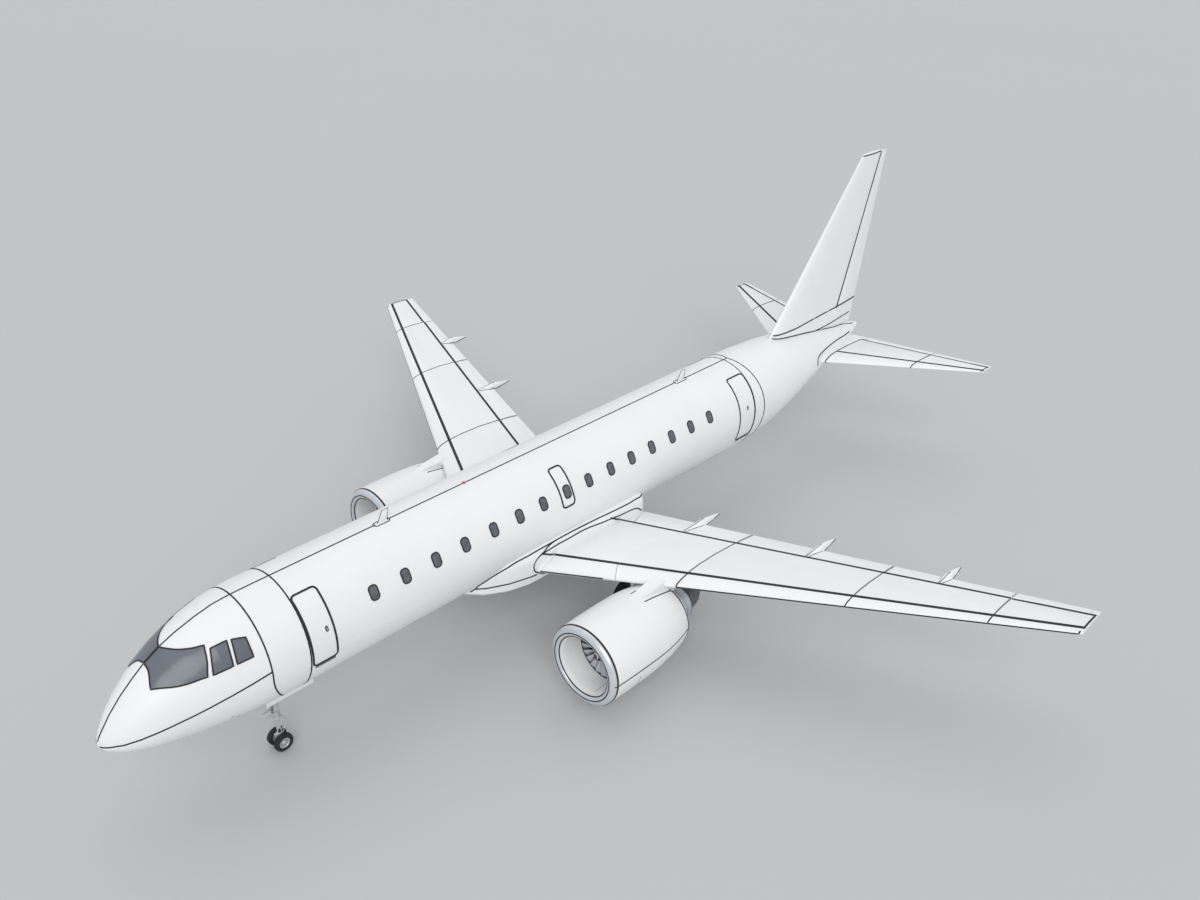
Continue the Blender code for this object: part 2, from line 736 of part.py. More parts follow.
def make_wing(side, label):
    """Wing box with its fixed edges and the fixed fronts of the flap-track pods."""
    foil = wing_foil(side)
    wing = loft("wing" + label, wing_rings(side), WHITE)
    for number, (span, ahead, _) in enumerate(PODS):
        line = FLAP_LINE(span)
        sections = ((-ahead, 0.03, -0.16, -0.22), (-0.75 * ahead, 0.10, 0.0, -0.33),
                    (-0.4 * ahead, 0.15, 0.0, -0.44), (-POD_SPLIT, 0.17, 0.0, -POD_DEPTH - 0.14))
        rings = [pod_ring(foil, span, line + s, w, t, b) for s, w, t, b in sections]
        join(wing, loft("pod_front%s_%d" % (label, number), rings, WHITE))
        frame = line_frame(foil, FLAP_LINE, FLAPS[0][1], FLAPS[-1][2], span, FLAP_DROP)
        join(wing, cuboid("ear_front%s_%d" % (label, number), frame, (SEAT / 2, EAR_WIDTH),
                          (-2.5 * POD_SPLIT, EAR_HALF), (-EAR_HALF, EAR_HALF), WHITE))
    station, y, low = WING_JACK
    join(wing, jack_pad("wing_jack" + label, station, side * y, low, low + 0.25))
    return wing, loft("wing_clearance" + label, wing_rings(side, SEAT), WHITE)


def make_slats(side, label):
    foil = wing_foil(side)
    for name, first, last, square in SLATS:
        skew = SLAT_LINE.slope if square else 0.0
        rings = [nose_piece_ring(foil, first, SLAT_LINE), nose_piece_ring(foil, last, SLAT_LINE, skew)]
        origin = foil.place(SLAT_LINE(first) + SLAT_BACK, first, -SLAT_DROP)
        slat = loft(name + label, rings, WHITE, origin)
        for number, share in enumerate((0.25, 0.75)):
            span = first + share * (last - first)
            frame = line_frame(foil, SLAT_LINE, first, last, span)
            depth = MOVING_GAP * SLAT_LINE.cosine - SEAT
            join(slat, cuboid("stop_%s%s_%d" % (name, label, number), frame, (-0.05, 0.05),
                              (-0.03, depth), (-0.03, 0.03), WHITE))


def make_flaps(side, label):
    foil = wing_foil(side)
    for (name, first, last, square), pod in zip(FLAPS, PODS):
        skew = FLAP_LINE.slope if square else 0.0
        rings = [flap_ring(foil, first + 0.004, FLAP_LINE, skew),
                 flap_ring(foil, last - 0.004, FLAP_LINE)]
        origin = foil.place(FLAP_LINE(first), first, -FLAP_DROP)
        flap = loft(name + label, rings, WHITE, origin)
        span, _, behind = pod
        line, trail = FLAP_LINE(span), foil.at_span(span)[1]
        sections = ((line + POD_SPLIT, 0.17, 0.0, -POD_DEPTH - 0.10),
                    (line + 0.5 * (trail - line), 0.16, 0.07, -POD_DEPTH - 0.04),
                    (trail, 0.13, 0.07, -0.24), (trail + 0.55 * behind, 0.08, 0.05, -0.13),
                    (trail + behind, 0.02, 0.01, -0.03))
        rings = [pod_ring(foil, span, s, w, t, b) for s, w, t, b in sections]
        join(flap, loft("pod_rear_%s%s" % (name, label), rings, WHITE))
        frame = line_frame(foil, FLAP_LINE, FLAPS[0][1], FLAPS[-1][2], span, FLAP_DROP)
        join(flap, cuboid("ear_rear_%s%s" % (name, label), frame, (-EAR_WIDTH, -SEAT / 2),
                          (-EAR_HALF, 2.5 * POD_SPLIT), (-EAR_HALF, EAR_HALF), WHITE))


def make_aileron(side, label, wing):
    foil = wing_foil(side)
    rings = [hinged_ring(foil, span, FLAP_LINE) for span in AILERON]
    origin = foil.place(FLAP_LINE(AILERON[0]), AILERON[0], 0.0)
    aileron = loft("aileron" + label, rings, WHITE, origin)
    frame = line_frame(foil, FLAP_LINE, *AILERON, AILERON[1] + 0.012)
    radius = 0.5 * foil.half(FLAP_LINE(AILERON[1]), AILERON[1])
    hinge_pin("aileron_pin" + label, wing, aileron, frame, 1.0, radius)


# Stabilizer and fin: span, leading station, trailing station, height, thickness ratio
STAB_ROOT = (1.09, 31.43, 35.25, 0.36, 0.095)
STAB_TIP = (6.61, 35.81, 36.689, 0.36, 0.085)
ELEVATOR_LINE = Line((1.21, 34.87), (6.55, 36.45))
ELEVATOR = (1.34, 6.44)
FIN_ROOT = (1.85, 29.15, 35.68, 0.0, 0.085)
FIN_TIP = (8.54, 34.52, 36.44, 0.0, 0.080)
RUDDER_LINE = Line((1.79, 34.00), (8.55, 35.98))
RUDDER = (1.94, 8.50)
STAB_FOOT = 0.55
FIN_FOOT = 0.75


def make_tail(tail_cone):
    """Hollow tail cone, fin with its base fairing, rudder, stabilizers and elevators."""
    cut(tail_cone, body_loft("tail_cavity", *TAIL_CAVITY, -SHELL_WALL))
    clearance = body_loft("tail_clearance", 25.0, 36.24, SEAT)
    foil = Foil(FIN_ROOT, FIN_TIP, upright=True)
    lead = Line((FIN_ROOT[0], FIN_ROOT[1] + 0.8), (FIN_TIP[0], FIN_TIP[1] + 0.3))
    bottom = RUDDER[0] - 0.026
    rows = ((FIN_FOOT, "edge"), (bottom - 0.002, "edge"), (bottom, "hinge"), (FIN_TIP[0], "hinge"))
    rings = [box_ring(foil, z, lead, RUDDER_LINE, "edge", tail) for z, tail in rows]
    fin = loft("fin", rings, WHITE)
    cut(fin, clearance)
    rings = [hinged_ring(foil, z, RUDDER_LINE) for z in RUDDER]
    rudder = loft("rudder", rings, WHITE, foil.place(RUDDER_LINE(RUDDER[0]), RUDDER[0], 0.0))
    frame = line_frame(foil, RUDDER_LINE, *RUDDER, RUDDER[0] - 0.013)
    hinge_pin("rudder_pin", fin, rudder, frame, -1.0, 0.044)
    for label, side in (("_left", 1), ("_right", -1)):
        foil = Foil(STAB_ROOT, STAB_TIP, side)
        lead = Line((STAB_ROOT[0], STAB_ROOT[1] + 0.9), (STAB_TIP[0], STAB_TIP[1] + 0.16))
        first, last = ELEVATOR[0] - 0.015, ELEVATOR[1] + 0.02
        rows = ((STAB_FOOT, "edge"), (first - 0.002, "edge"), (first, "hinge"), (last, "hinge"),
                (last + 0.002, "edge"), (STAB_TIP[0], "edge"))
        rings = [box_ring(foil, y, lead, ELEVATOR_LINE, "edge", tail) for y, tail in rows]
        stabilizer = loft("stabilizer" + label, rings, WHITE)
        cut(stabilizer, clearance)
        rings = [hinged_ring(foil, y, ELEVATOR_LINE) for y in ELEVATOR]
        origin = foil.place(ELEVATOR_LINE(ELEVATOR[0]), ELEVATOR[0], 0.0)
        elevator = loft("elevator" + label, rings, WHITE, origin)
        for end, towards, offset in ((0, -1.0, -0.008), (1, 1.0, 0.011)):
            frame = line_frame(foil, ELEVATOR_LINE, *ELEVATOR, ELEVATOR[end] + offset)
            radius = 0.5 * foil.half(ELEVATOR_LINE(ELEVATOR[end]), ELEVATOR[end])
            name = "elevator_pin_%d%s" % (end, label)
            hinge_pin(name, stabilizer, elevator, frame, towards, radius)


# Engine profiles: station and radius about the engine's axis
LIP = ((12.545, 1.380), (12.47, 1.355), (12.41, 1.295), (12.375, 1.20), (12.39, 1.11),
       (12.45, 1.045), (12.56, 1.02), (12.66, 1.01))
NACELLE_OUT = ((12.545 + SEAT, 1.380), (13.2, 1.40), (14.0, 1.405), (14.6, 1.395), (15.05, 1.365),
               (15.45, 1.31), (15.85, 1.23), (16.22, 1.133))
NACELLE_IN = ((16.22, 1.113), (15.2, 1.08), (14.2, 1.03), (13.9, 1.0), (13.2, 1.0),
              (12.66 + SEAT, 1.01))
FAN_TIP = 12.98
FAN_BLADES = 20
BLADE_SHARE = 0.88
FAN_BACK = 13.62
# Fan rings: station at each blade's start, station at its end, radius
FAN_RINGS = ((13.10, 13.10, 0.17), (13.36, 13.36, 0.31), (13.40, 13.48, 0.31), (13.40, 13.54, 0.985),
             (13.59, 13.59, 0.985), (FAN_BACK, FAN_BACK, 0.20))
CORE = ((FAN_BACK + SEAT, 0.0), (FAN_BACK + SEAT, 0.18), (13.70, 0.18), (13.70, 0.9996),
        (13.88, 0.9996), (13.88, 0.66), (14.6, 0.76), (15.9, 0.80), (16.5, 0.72), (17.12, 0.56),
        (17.12, 0.545), (16.95, 0.53), (16.95, 0.0))
PLUG = ((16.95 + SEAT, 0.0), (16.95 + SEAT, 0.43), (17.25, 0.435), (17.50, 0.42), (17.72, 0.355),
        (17.90, 0.26), (18.09, 0.145), (18.22, 0.05), (18.25, 0.0))
# Pylon sections: station, half width, lowest and highest z
PYLON = ((14.45, 0.03, -1.56, -1.11), (14.70, 0.12, -1.56, -1.05), (15.05, 0.19, -1.56, -1.0),
         (15.50, 0.22, -1.56, -0.965), (15.95, 0.22, -1.56, -0.90), (16.30, 0.21, -1.56, -0.91),
         (17.00, 0.17, -1.52, -1.00), (17.60, 0.10, -1.40, -1.05), (17.95, 0.02, -1.28, -1.10))


def make_fan(label, y):
    """Fan: a spinner, then a disc whose front steps back along each blade."""
    place = around_x(y, ENGINE_Z)
    count = 2 * FAN_BLADES
    points = [place(FAN_TIP, 0.0, 0.0)]
    for start, end, radius in FAN_RINGS:
        for k in range(count):
            share = BLADE_SHARE if k % 2 else 0.0
            angle = 2.0 * math.pi * (k // 2 + share) / FAN_BLADES
            station = end if k % 2 else start
            points.append(place(station, radius * math.cos(angle), radius * math.sin(angle)))
    points.append(place(FAN_BACK, 0.0, 0.0))
    last = len(points) - 1
    faces = []
    for k in range(count):
        n = (k + 1) % count
        faces.append((0, 1 + k, 1 + n))
        faces.append((last, last - count + n, last - count + k))
        for ring in range(len(FAN_RINGS) - 1):
            a, b = 1 + ring * count, 1 + (ring + 1) * count
            faces.append((a + k, b + k, b + n, a + n))
    return solid("fan" + label, points, faces, FAN_METAL, place(FAN_TIP, 0.0, 0.0))


def make_engine(side, label, wing_clearance):
    """Inlet lip, nacelle, fan, engine block with its nozzle, exhaust plug and pylon."""
    y = side * ENGINE_Y
    place = around_x(y, ENGINE_Z)
    turned("inlet_lip" + label, LIP, place, TURNED_SIDES, LIP_METAL, loop=True)
    turned("nacelle" + label, NACELLE_OUT + NACELLE_IN, place, TURNED_SIDES, WHITE, loop=True)
    make_fan(label, y)
    turned("engine_core" + label, CORE, place, TURNED_SIDES, NOZZLE_METAL)
    turned("exhaust_plug" + label, PLUG, place, TURNED_SIDES, PLUG_METAL)
    rings = []
    for station, half, low, high in PYLON:
        corners = ((-half, low), (half, low), (half, high), (-half, high))
        rings.append([at(station, y + side * u, z) for u, z in corners])
    pylon = loft("pylon" + label, rings, WHITE)
    skin = [(s, r + SEAT) for s, r in NACELLE_OUT]
    filled = [(skin[0][0], 0.0), *skin, (skin[-1][0], 0.0)]
    cut(pylon, turned("nacelle_clearance" + label, filled, place, TURNED_SIDES, WHITE))
    cut(pylon, wing_clearance)


def wheel_profile(gear, axle_radius):
    """Half of a twin wheel from the axle's middle outwards: (distance along the axle, radius)."""
    r, t, w = gear["wheel_radius"], gear["half_track"], gear["half_width"]
    rim = 0.55 * r
    return ((t - w, axle_radius), (t - w, 0.22 * r), (t - 0.6 * w, 0.40 * r), (t - w, rim),
            (t - 0.95 * w, 0.88 * r), (t - 0.62 * w, r), (t + 0.62 * w, r), (t + 0.95 * w, 0.88 * r),
            (t + w, rim), (t + 0.5 * w, 0.40 * r), (t + 0.62 * w, 0.0))


def make_wheels(name, station, y, gear, axle_radius):
    """Pair of wheels on one axle, turned about the axle as a single body."""
    corner = 1.0 / math.cos(math.pi / WHEEL_SIDES)
    half = [(distance, corner * radius) for distance, radius in wheel_profile(gear, axle_radius)]
    profile = [(-distance, radius) for distance, radius in reversed(half)] + half
    z = gear["wheel_radius"] - AXIS_HEIGHT
    turned(name, profile, around_y(station, y, z), WHEEL_SIDES, TYRE, origin=at(station, y, z))


def bearing(name, station, y, z, half_length, inner, outer, paint):
    """Tube about an axle."""
    profile = ((-half_length, inner), (-half_length, outer), (half_length, outer),
               (half_length, inner))
    return turned(name, profile, around_y(station, y, z), 16, paint, loop=True)


def make_nose_gear(forward_shell):
    """Leg, steered lower leg with its axle tube, twin wheels and the bay's two doors."""
    station = NOSE_GEAR["station"]
    axle_z = NOSE_GEAR["wheel_radius"] - AXIS_HEIGHT
    half, roof = BAY["half_width"], BAY["roof"]
    cut(forward_shell, block("nose_bay", (BAY["first"], -half, -2.2), (BAY["last"], half, roof), WHITE))
    split = -3.25
    leg_profile = ((roof - SEAT, 0.0), (roof - SEAT, 0.16), (-1.45, 0.16), (-1.50, 0.095),
                   (split, 0.095), (split, 0.0))
    leg = turned("nose_leg", leg_profile, around_z(station, 0.0), 20, GEAR_METAL)
    brace_foot = at(station + 0.02, 0.0, -2.75)
    join(leg, rod("nose_brace", brace_foot, at(station + 0.80, 0.0, roof - 0.06), 0.05, 12, GEAR_METAL))
    pad = block("nose_brace_pad", (station + 0.70, -0.10, roof - 0.14), (station + 0.92, 0.10, roof - SEAT),
                GEAR_METAL)
    join(leg, pad)
    reach = NOSE_GEAR["half_track"] - NOSE_GEAR["half_width"] - SEAT
    fork_profile = ((split - SEAT, 0.0), (split - SEAT, 0.07), (axle_z + 0.09, 0.07), (axle_z + 0.05, 0.0))
    fork = turned("nose_steering", fork_profile, around_z(station, 0.0), 20, GEAR_METAL,
                  origin=at(station, 0.0, axle_z))
    tube = bearing("nose_axle_tube", station, 0.0, axle_z, reach, 0.046, 0.075, GEAR_METAL)
    join(fork, tube)
    lug = block("tow_lug", (station - 0.15, -0.05, axle_z + 0.16), (station, 0.05, axle_z + 0.26),
                GEAR_METAL)
    join(fork, lug)
    make_wheels("nose_wheels", station, 0.0, NOSE_GEAR, 0.040)
    for label, side in (("_left", 1), ("_right", -1)):
        inner, outer = side * (half + 0.02), side * (half + 0.05)
        low, high = min(inner, outer), max(inner, outer)
        door = block("nose_gear_door" + label, (BAY["first"] + 0.02, low, -2.22),
                     (BAY["last"] - 0.02, high, -1.5), WHITE)
        cut(door, body_loft("bay_clearance" + label, 4.2, 6.6, SEAT))


def make_main_gear(side, label, wing_clearance):
    """Main leg with its axle tube and side brace, and the twin wheels."""
    station, y = MAIN_GEAR["station"], side * MAIN_GEAR["y"]
    axle_z = MAIN_GEAR["wheel_radius"] - AXIS_HEIGHT
    profile = ((-1.15, 0.0), (-1.15, 0.15), (-3.05, 0.15), (-3.07, 0.10), (axle_z + 0.10, 0.10),
               (axle_z + 0.09, 0.0))
    leg = turned("main_leg" + label, profile, around_z(station, y), 20, GEAR_METAL)
    reach = MAIN_GEAR["half_track"] - MAIN_GEAR["half_width"] - SEAT
    join(leg, bearing("main_axle_tube" + label, station, y, axle_z, reach, 0.068, 0.13, GEAR_METAL))
    foot = at(station, y - side * 0.02, -2.85)
    head = at(station, side * 2.10, -1.30)
    join(leg, rod("main_brace" + label, foot, head, 0.06, 12, GEAR_METAL))
    cut(leg, wing_clearance)
    make_wheels("main_wheels" + label, station, y, MAIN_GEAR, 0.060)


# Antennas: shell, base stations, top stations
ANTENNAS = (
    ("fuselage_forward", 8.99, 9.37, 9.22, 9.45),
    ("fuselage_aft", 22.99, 23.45, 23.26, 23.49),
)
ANTENNA_TOP = 2.20


def make_antennas(shells):
    """Blade antennas on the crown, fused with their shells."""
    for shell, base_first, base_last, top_first, top_last in ANTENNAS:
        rings = []
        for z, first, last, half in ((1.70, base_first, base_last, 0.035),
                                     (ANTENNA_TOP, top_first, top_last, 0.012)):
            middle = (first + last) / 2.0
            outline = ((first, 0.0), (middle, half), (last, 0.0), (middle, -half))
            rings.append([at(s, y, z) for s, y in outline])
        join(shells[shell], loft("antenna_" + shell, rings, WHITE))


def build():
    """The whole aircraft."""
    for old in list(bpy.data.objects):
        bpy.data.objects.remove(old, do_unlink=True)
    shells = make_fuselage()
    make_cockpit_glass(shells["fuselage_nose"])
    make_antennas(shells)
    make_fairing()
    for label, side in (("_left", 1), ("_right", -1)):
        wing, wing_clearance = make_wing(side, label)
        make_slats(side, label)
        make_flaps(side, label)
        make_aileron(side, label, wing)
        make_engine(side, label, wing_clearance)
        make_main_gear(side, label, wing_clearance)
    make_tail(shells["tail_cone"])
    make_nose_gear(shells["fuselage_forward"])


build()
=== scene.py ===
"""Looks of the twin-engine regional airliner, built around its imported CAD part.

Stations are metres aft of the nose tip, y is metres to port and z metres above the cabin's axis.
Angles round the fuselage and the engines are degrees above the outboard or port horizontal.
"""

import math

import bmesh
import bpy
import numpy as np
from mathutils import Matrix, Vector
from mathutils.bvhtree import BVHTree


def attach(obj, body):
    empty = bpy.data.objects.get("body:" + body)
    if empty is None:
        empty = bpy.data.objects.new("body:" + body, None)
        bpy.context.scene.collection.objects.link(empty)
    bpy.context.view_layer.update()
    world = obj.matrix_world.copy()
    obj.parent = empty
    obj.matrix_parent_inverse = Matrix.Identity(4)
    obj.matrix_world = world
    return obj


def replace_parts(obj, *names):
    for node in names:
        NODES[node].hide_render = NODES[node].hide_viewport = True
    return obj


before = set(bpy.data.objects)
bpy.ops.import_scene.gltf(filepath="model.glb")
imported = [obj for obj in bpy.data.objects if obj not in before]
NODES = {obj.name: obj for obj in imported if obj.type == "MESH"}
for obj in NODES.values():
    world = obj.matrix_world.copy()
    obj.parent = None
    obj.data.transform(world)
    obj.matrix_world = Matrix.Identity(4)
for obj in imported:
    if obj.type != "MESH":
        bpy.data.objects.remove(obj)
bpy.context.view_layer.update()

NOSE_X = 18.3445
AXIS_HEIGHT = 4.40
SIDES = (("left", 1), ("right", -1))
X = Vector((1.0, 0.0, 0.0))
Y = Vector((0.0, 1.0, 0.0))
Z = Vector((0.0, 0.0, 1.0))


def at(station, y, z):
    return Vector((NOSE_X - station, y, AXIS_HEIGHT + z))


# Camera at the photo's place and lens
CAMERA_PLACE = (24.67128, 22.73055, 24.51669)
CAMERA_YAW_PITCH_ROLL = (42.11037, 30.09439, 2.34611)
LENS = 32.325


def make_camera():
    data = bpy.data.cameras.new("photo_camera")
    data.sensor_width = 36.0
    data.lens = LENS
    data.clip_end = 2000.0
    camera = bpy.data.objects.new("photo_camera", data)
    bpy.context.scene.collection.objects.link(camera)
    yaw, pitch, roll = (math.radians(a) for a in CAMERA_YAW_PITCH_ROLL)
    ahead = Vector((math.cos(pitch) * math.cos(yaw), math.cos(pitch) * math.sin(yaw), -math.sin(pitch)))
    across = ahead.cross(Z).normalized()
    above = across.cross(ahead)
    right = math.cos(roll) * across + math.sin(roll) * above
    up = -math.sin(roll) * across + math.cos(roll) * above
    axes = [Vector((-v.x, -v.y, v.z)) for v in (right, up, -ahead)]
    turn = Matrix(axes).transposed().to_4x4()
    camera.matrix_world = Matrix.Translation(CAMERA_PLACE) @ turn
    bpy.context.scene.camera = camera


make_camera()

# Materials
SLOT_OF = {}


def material(name, colour, roughness, slot=None, metallic=0.0, spread=0.04, scale=3.0, fine=60.0,
             bump=0.02, rough_spread=0.06, coat=0.0, stretch=(1.0, 1.0, 1.0)):
    """Principled material whose colour and roughness drift over the surface, with a fine bump."""
    made = bpy.data.materials.new(name)
    SLOT_OF[made.name] = slot
    made.use_nodes = True
    nodes, link = made.node_tree.nodes, made.node_tree.links.new

    def node(kind, **values):
        new = nodes.new(kind)
        for label, value in values.items():
            new.inputs[label.replace("_", " ")].default_value = value
        return new

    shader = nodes["Principled BSDF"]
    shader.inputs["Metallic"].default_value = metallic
    shader.inputs["Coat Weight"].default_value = coat
    shader.inputs["Coat Roughness"].default_value = 0.08
    place = node("ShaderNodeTexCoord")
    mapping = node("ShaderNodeMapping", Scale=stretch)
    link(place.outputs["Object"], mapping.inputs["Vector"])
    broad = node("ShaderNodeTexNoise", Scale=scale, Detail=4.0)
    link(mapping.outputs["Vector"], broad.inputs["Vector"])
    ramp = node("ShaderNodeValToRGB")
    for stop, position, shade in zip(ramp.color_ramp.elements, (0.35, 0.65), (1.0 - spread, 1.0)):
        stop.position = position
        stop.color = (*(c * shade for c in colour), 1.0)
    link(broad.outputs["Fac"], ramp.inputs["Fac"])
    link(ramp.outputs["Color"], shader.inputs["Base Color"])
    rough = node("ShaderNodeMapRange", To_Min=max(0.02, roughness - rough_spread),
                 To_Max=min(1.0, roughness + rough_spread))
    link(broad.outputs["Fac"], rough.inputs["Value"])
    link(rough.outputs["Result"], shader.inputs["Roughness"])
    if bump:
        grain = node("ShaderNodeTexNoise", Scale=fine)
        link(mapping.outputs["Vector"], grain.inputs["Vector"])
        relief = node("ShaderNodeBump", Strength=bump, Distance=0.01)
        link(grain.outputs["Fac"], relief.inputs["Height"])
        link(relief.outputs["Normal"], shader.inputs["Normal"])
    return made


PAINT = material("white_paint", (0.89, 0.893, 0.90), 0.42, "white_paint", spread=0.02, scale=0.6,
                 fine=25.0, bump=0.01, coat=0.08)
INSIDE = material("duct_paint", (0.88, 0.885, 0.89), 0.45, "white_paint", spread=0.05, scale=2.0)
GLASS = material("cockpit_glass", (0.150, 0.168, 0.195), 0.20, "cockpit_glass", spread=0.20, scale=0.7,
                 bump=0.0, rough_spread=0.03)
PANE = material("cabin_glass", (0.12, 0.135, 0.16), 0.14, "cockpit_glass", spread=0.35, scale=5.0,
                bump=0.0, rough_spread=0.04, coat=0.4)
# Near-black for seams and outlines, also painted shade: the disc behind the fans, the ring across the bypass
# ducts and the disc in the exhaust pipe
SEAM_AND_SHADE = material("seam_sealant_and_shade", (0.016, 0.017, 0.020), 0.65, "white_paint", spread=0.25, scale=12.0)
FAINT = material("panel_gap", (0.16, 0.17, 0.19), 0.60, "white_paint", spread=0.20, scale=12.0)
LIP = material("inlet_metal", (0.70, 0.745, 0.79), 0.30, "lip_metal", metallic=0.45, spread=0.06,
               scale=4.0)
NOZZLE = material("nozzle_metal", (0.66, 0.70, 0.76), 0.34, "nozzle_metal", metallic=0.7, spread=0.14,
                  scale=5.0, stretch=(0.3, 1.0, 1.0), rough_spread=0.10)
PLUG = material("plug_metal", (0.20, 0.20, 0.215), 0.42, "plug_metal", metallic=0.8, spread=0.3,
                scale=6.0, rough_spread=0.1)
BLADE = material("blade_metal", (0.62, 0.65, 0.69), 0.34, "fan_metal", metallic=0.35, spread=0.12,
                 scale=8.0)
DARK_METAL = material("fan_metal", (0.075, 0.08, 0.09), 0.32, "fan_metal", metallic=0.7, spread=0.3,
                      scale=8.0)
STEEL = material("gear_steel", (0.60, 0.62, 0.64), 0.36, "gear_metal", metallic=0.35, spread=0.10,
                 scale=6.0)
CHROME = material("oleo_chrome", (0.82, 0.83, 0.85), 0.08, "gear_metal", metallic=1.0, scale=9.0,
                  bump=0.0, rough_spread=0.03)
RIM = material("wheel_rim", (0.55, 0.57, 0.58), 0.38, "gear_metal", metallic=0.55, spread=0.16,
               scale=14.0)
RUBBER = material("tyre_rubber", (0.022, 0.022, 0.024), 0.82, "tyre_rubber", spread=0.35, scale=9.0,
                  fine=120.0, bump=0.25)
HOSE = material("hose_rubber", (0.03, 0.03, 0.032), 0.55, "tyre_rubber", spread=0.3, scale=30.0)
BAY = material("bay_primer", (0.34, 0.37, 0.33), 0.62, "white_paint", spread=0.3)
LAMP = {"scale": 20.0, "bump": 0.0, "coat": 0.6}
RED = material("lamp_red", (0.60, 0.02, 0.02), 0.12, spread=0.2, **LAMP)
GREEN = material("lamp_green", (0.02, 0.42, 0.10), 0.12, spread=0.2, **LAMP)
CLEAR = material("lamp_clear", (0.75, 0.80, 0.86), 0.08, "cockpit_glass", spread=0.1, **LAMP)


# Places on the CAD skins
def tree(*prefixes):
    """Search tree over every CAD node whose name starts with a prefix."""
    points, faces = [], []
    for name, node in NODES.items():
        if name.startswith(prefixes):
            start = len(points)
            points += [v.co.copy() for v in node.data.vertices]
            faces += [[start + i for i in p.vertices] for p in node.data.polygons]
    return BVHTree.FromPolygons(points, faces)


# Fuselage sections: station, crown z, keel z, half width, z of the widest point
BODY = (
    (0.00, -0.80, -0.88, 0.04, -0.84), (0.06, -0.64, -0.99, 0.19, -0.83), (0.16, -0.49, -1.08, 0.33, -0.82),
    (0.44, -0.10, -1.23, 0.60, -0.76), (0.80, 0.30, -1.36, 0.82, -0.68), (1.20, 0.66, -1.47, 1.00, -0.58),
    (1.55, 0.94, -1.54, 1.13, -0.48), (2.03, 1.24, -1.62, 1.29, -0.35), (2.48, 1.44, -1.68, 1.42, -0.25),
    (3.06, 1.63, -1.74, 1.56, -0.15), (3.60, 1.76, -1.78, 1.67, -0.08), (4.10, 1.80, -1.80, 1.75, -0.03),
    (4.80, 1.811, -1.811, 1.811, 0.0), (11.60, 1.811, -1.811, 1.811, 0.0), (20.30, 1.811, -1.93, 1.811, 0.0),
    (23.5, 1.811, -1.99, 1.811, 0.0), (25.0, 1.811, -2.02, 1.811, 0.0), (26.2, 1.811, -2.01, 1.80, 0.01),
    (27.6, 1.79, -1.86, 1.74, 0.05), (29.2, 1.72, -1.40, 1.60, 0.14), (30.9, 1.52, -0.76, 1.36, 0.26),
    (32.6, 1.22, -0.34, 1.03, 0.36), (34.2, 0.93, -0.04, 0.70, 0.42), (35.4, 0.71, 0.16, 0.41, 0.44),
    (36.24, 0.50, 0.33, 0.10, 0.42),
)
BODY_SIDES = 160
RADIUS = 1.811


def full_turn(count):
    return [2.0 * math.pi * k / count for k in range(count)]


def body_skin():
    """Search tree over the fuselage's unbroken outer skin, with its doors and panes closed over."""
    points, faces = [], []
    for station, crown, keel, half_width, middle in BODY:
        for angle in full_turn(BODY_SIDES):
            height = (crown - middle) if math.sin(angle) > 0 else (middle - keel)
            points.append(at(station, half_width * math.cos(angle), middle + height * math.sin(angle)))
    for row in range(len(BODY) - 1):
        a, b = row * BODY_SIDES, (row + 1) * BODY_SIDES
        for i in range(BODY_SIDES):
            j = (i + 1) % BODY_SIDES
            faces += [(a + i, a + j, b + j), (a + i, b + j, b + i)]
    return BVHTree.FromPolygons(points, faces)


WING_NODES = ("wing_", "slat_inner_", "slat_outer_", "flap_inner_", "flap_middle_", "flap_outer_",
              "aileron_")
HULL = body_skin()
FAIRING = tree("belly_fairing")
WINGS = {side: tree("belly_fairing", *(node + name for node in WING_NODES)) for name, side in SIDES}
TAILS = {side: tree("stabilizer_" + name, "elevator_" + name) for name, side in SIDES}
FIN = tree("fin", "rudder")


def cast(where, origin, direction, reach=8.0):
    """Point and normal where a ray first meets a skin, or None."""
    point, normal, _, _ = where.ray_cast(origin, direction, reach)
    if point is None:
        return None
    return point, normal if normal.dot(direction) < 0 else -normal


def hull(station, angle):
    """Fuselage skin at a station and an angle above the port horizontal."""
    out = Vector((0.0, math.cos(math.radians(angle)), math.sin(math.radians(angle))))
    found = cast(HULL, at(station, 0.0, 0.0) + out * 5.0, -out)
    return (found[0], (found[1] + out).normalized()) if found else None


def crown(station, y=0.0, face=1):
    """Fuselage skin from above (+1) or below (-1)."""
    return cast(HULL, at(station, y, 4.0 * face), Z * -face)


def wing_skin(station, y, face):
    """Wing skin from above (+1) or below (-1); y is negative to starboard."""
    return cast(WINGS[1 if y > 0 else -1], at(station, y, 4.0 * face), Z * -face)


def tail_skin(station, y, face):
    return cast(TAILS[1 if y > 0 else -1], at(station, y, 0.36 + 2.0 * face), Z * -face)


def fin_skin(station, z, side):
    return cast(FIN, at(station, 2.0 * side, z), Y * -side)


def flank(station, z, side, other):
    """Outermost skin of the fuselage and another piece, abreast of a point on the middle plane."""
    found = [cast(where, at(station, 5.0 * side, z), Y * -side) for where in (HULL, other)]
    return max((f for f in found if f), key=lambda f: f[0].y * side, default=None)


def mirrored(angle, side):
    """The same angle to port (+1) or to starboard (-1)."""
    return 90.0 - side * (90.0 - angle)


def skin_place(station, angle, side):
    """Placing function over the fuselage: u runs aft, v runs up round the skin."""
    return lambda u, v: hull(station + u, mirrored(angle + math.degrees(v / RADIUS), side))


# Paths and outlines
def spread_values(first, last, step):
    count = max(1, int(abs(last - first) / step))
    return [first + (last - first) * k / count for k in range(count + 1)]


def line_between(first, last):
    """Station as a function of span, from two (span, station) pairs."""
    slope = (last[1] - first[1]) / (last[0] - first[0])
    return lambda span: first[1] + slope * (span - first[0])


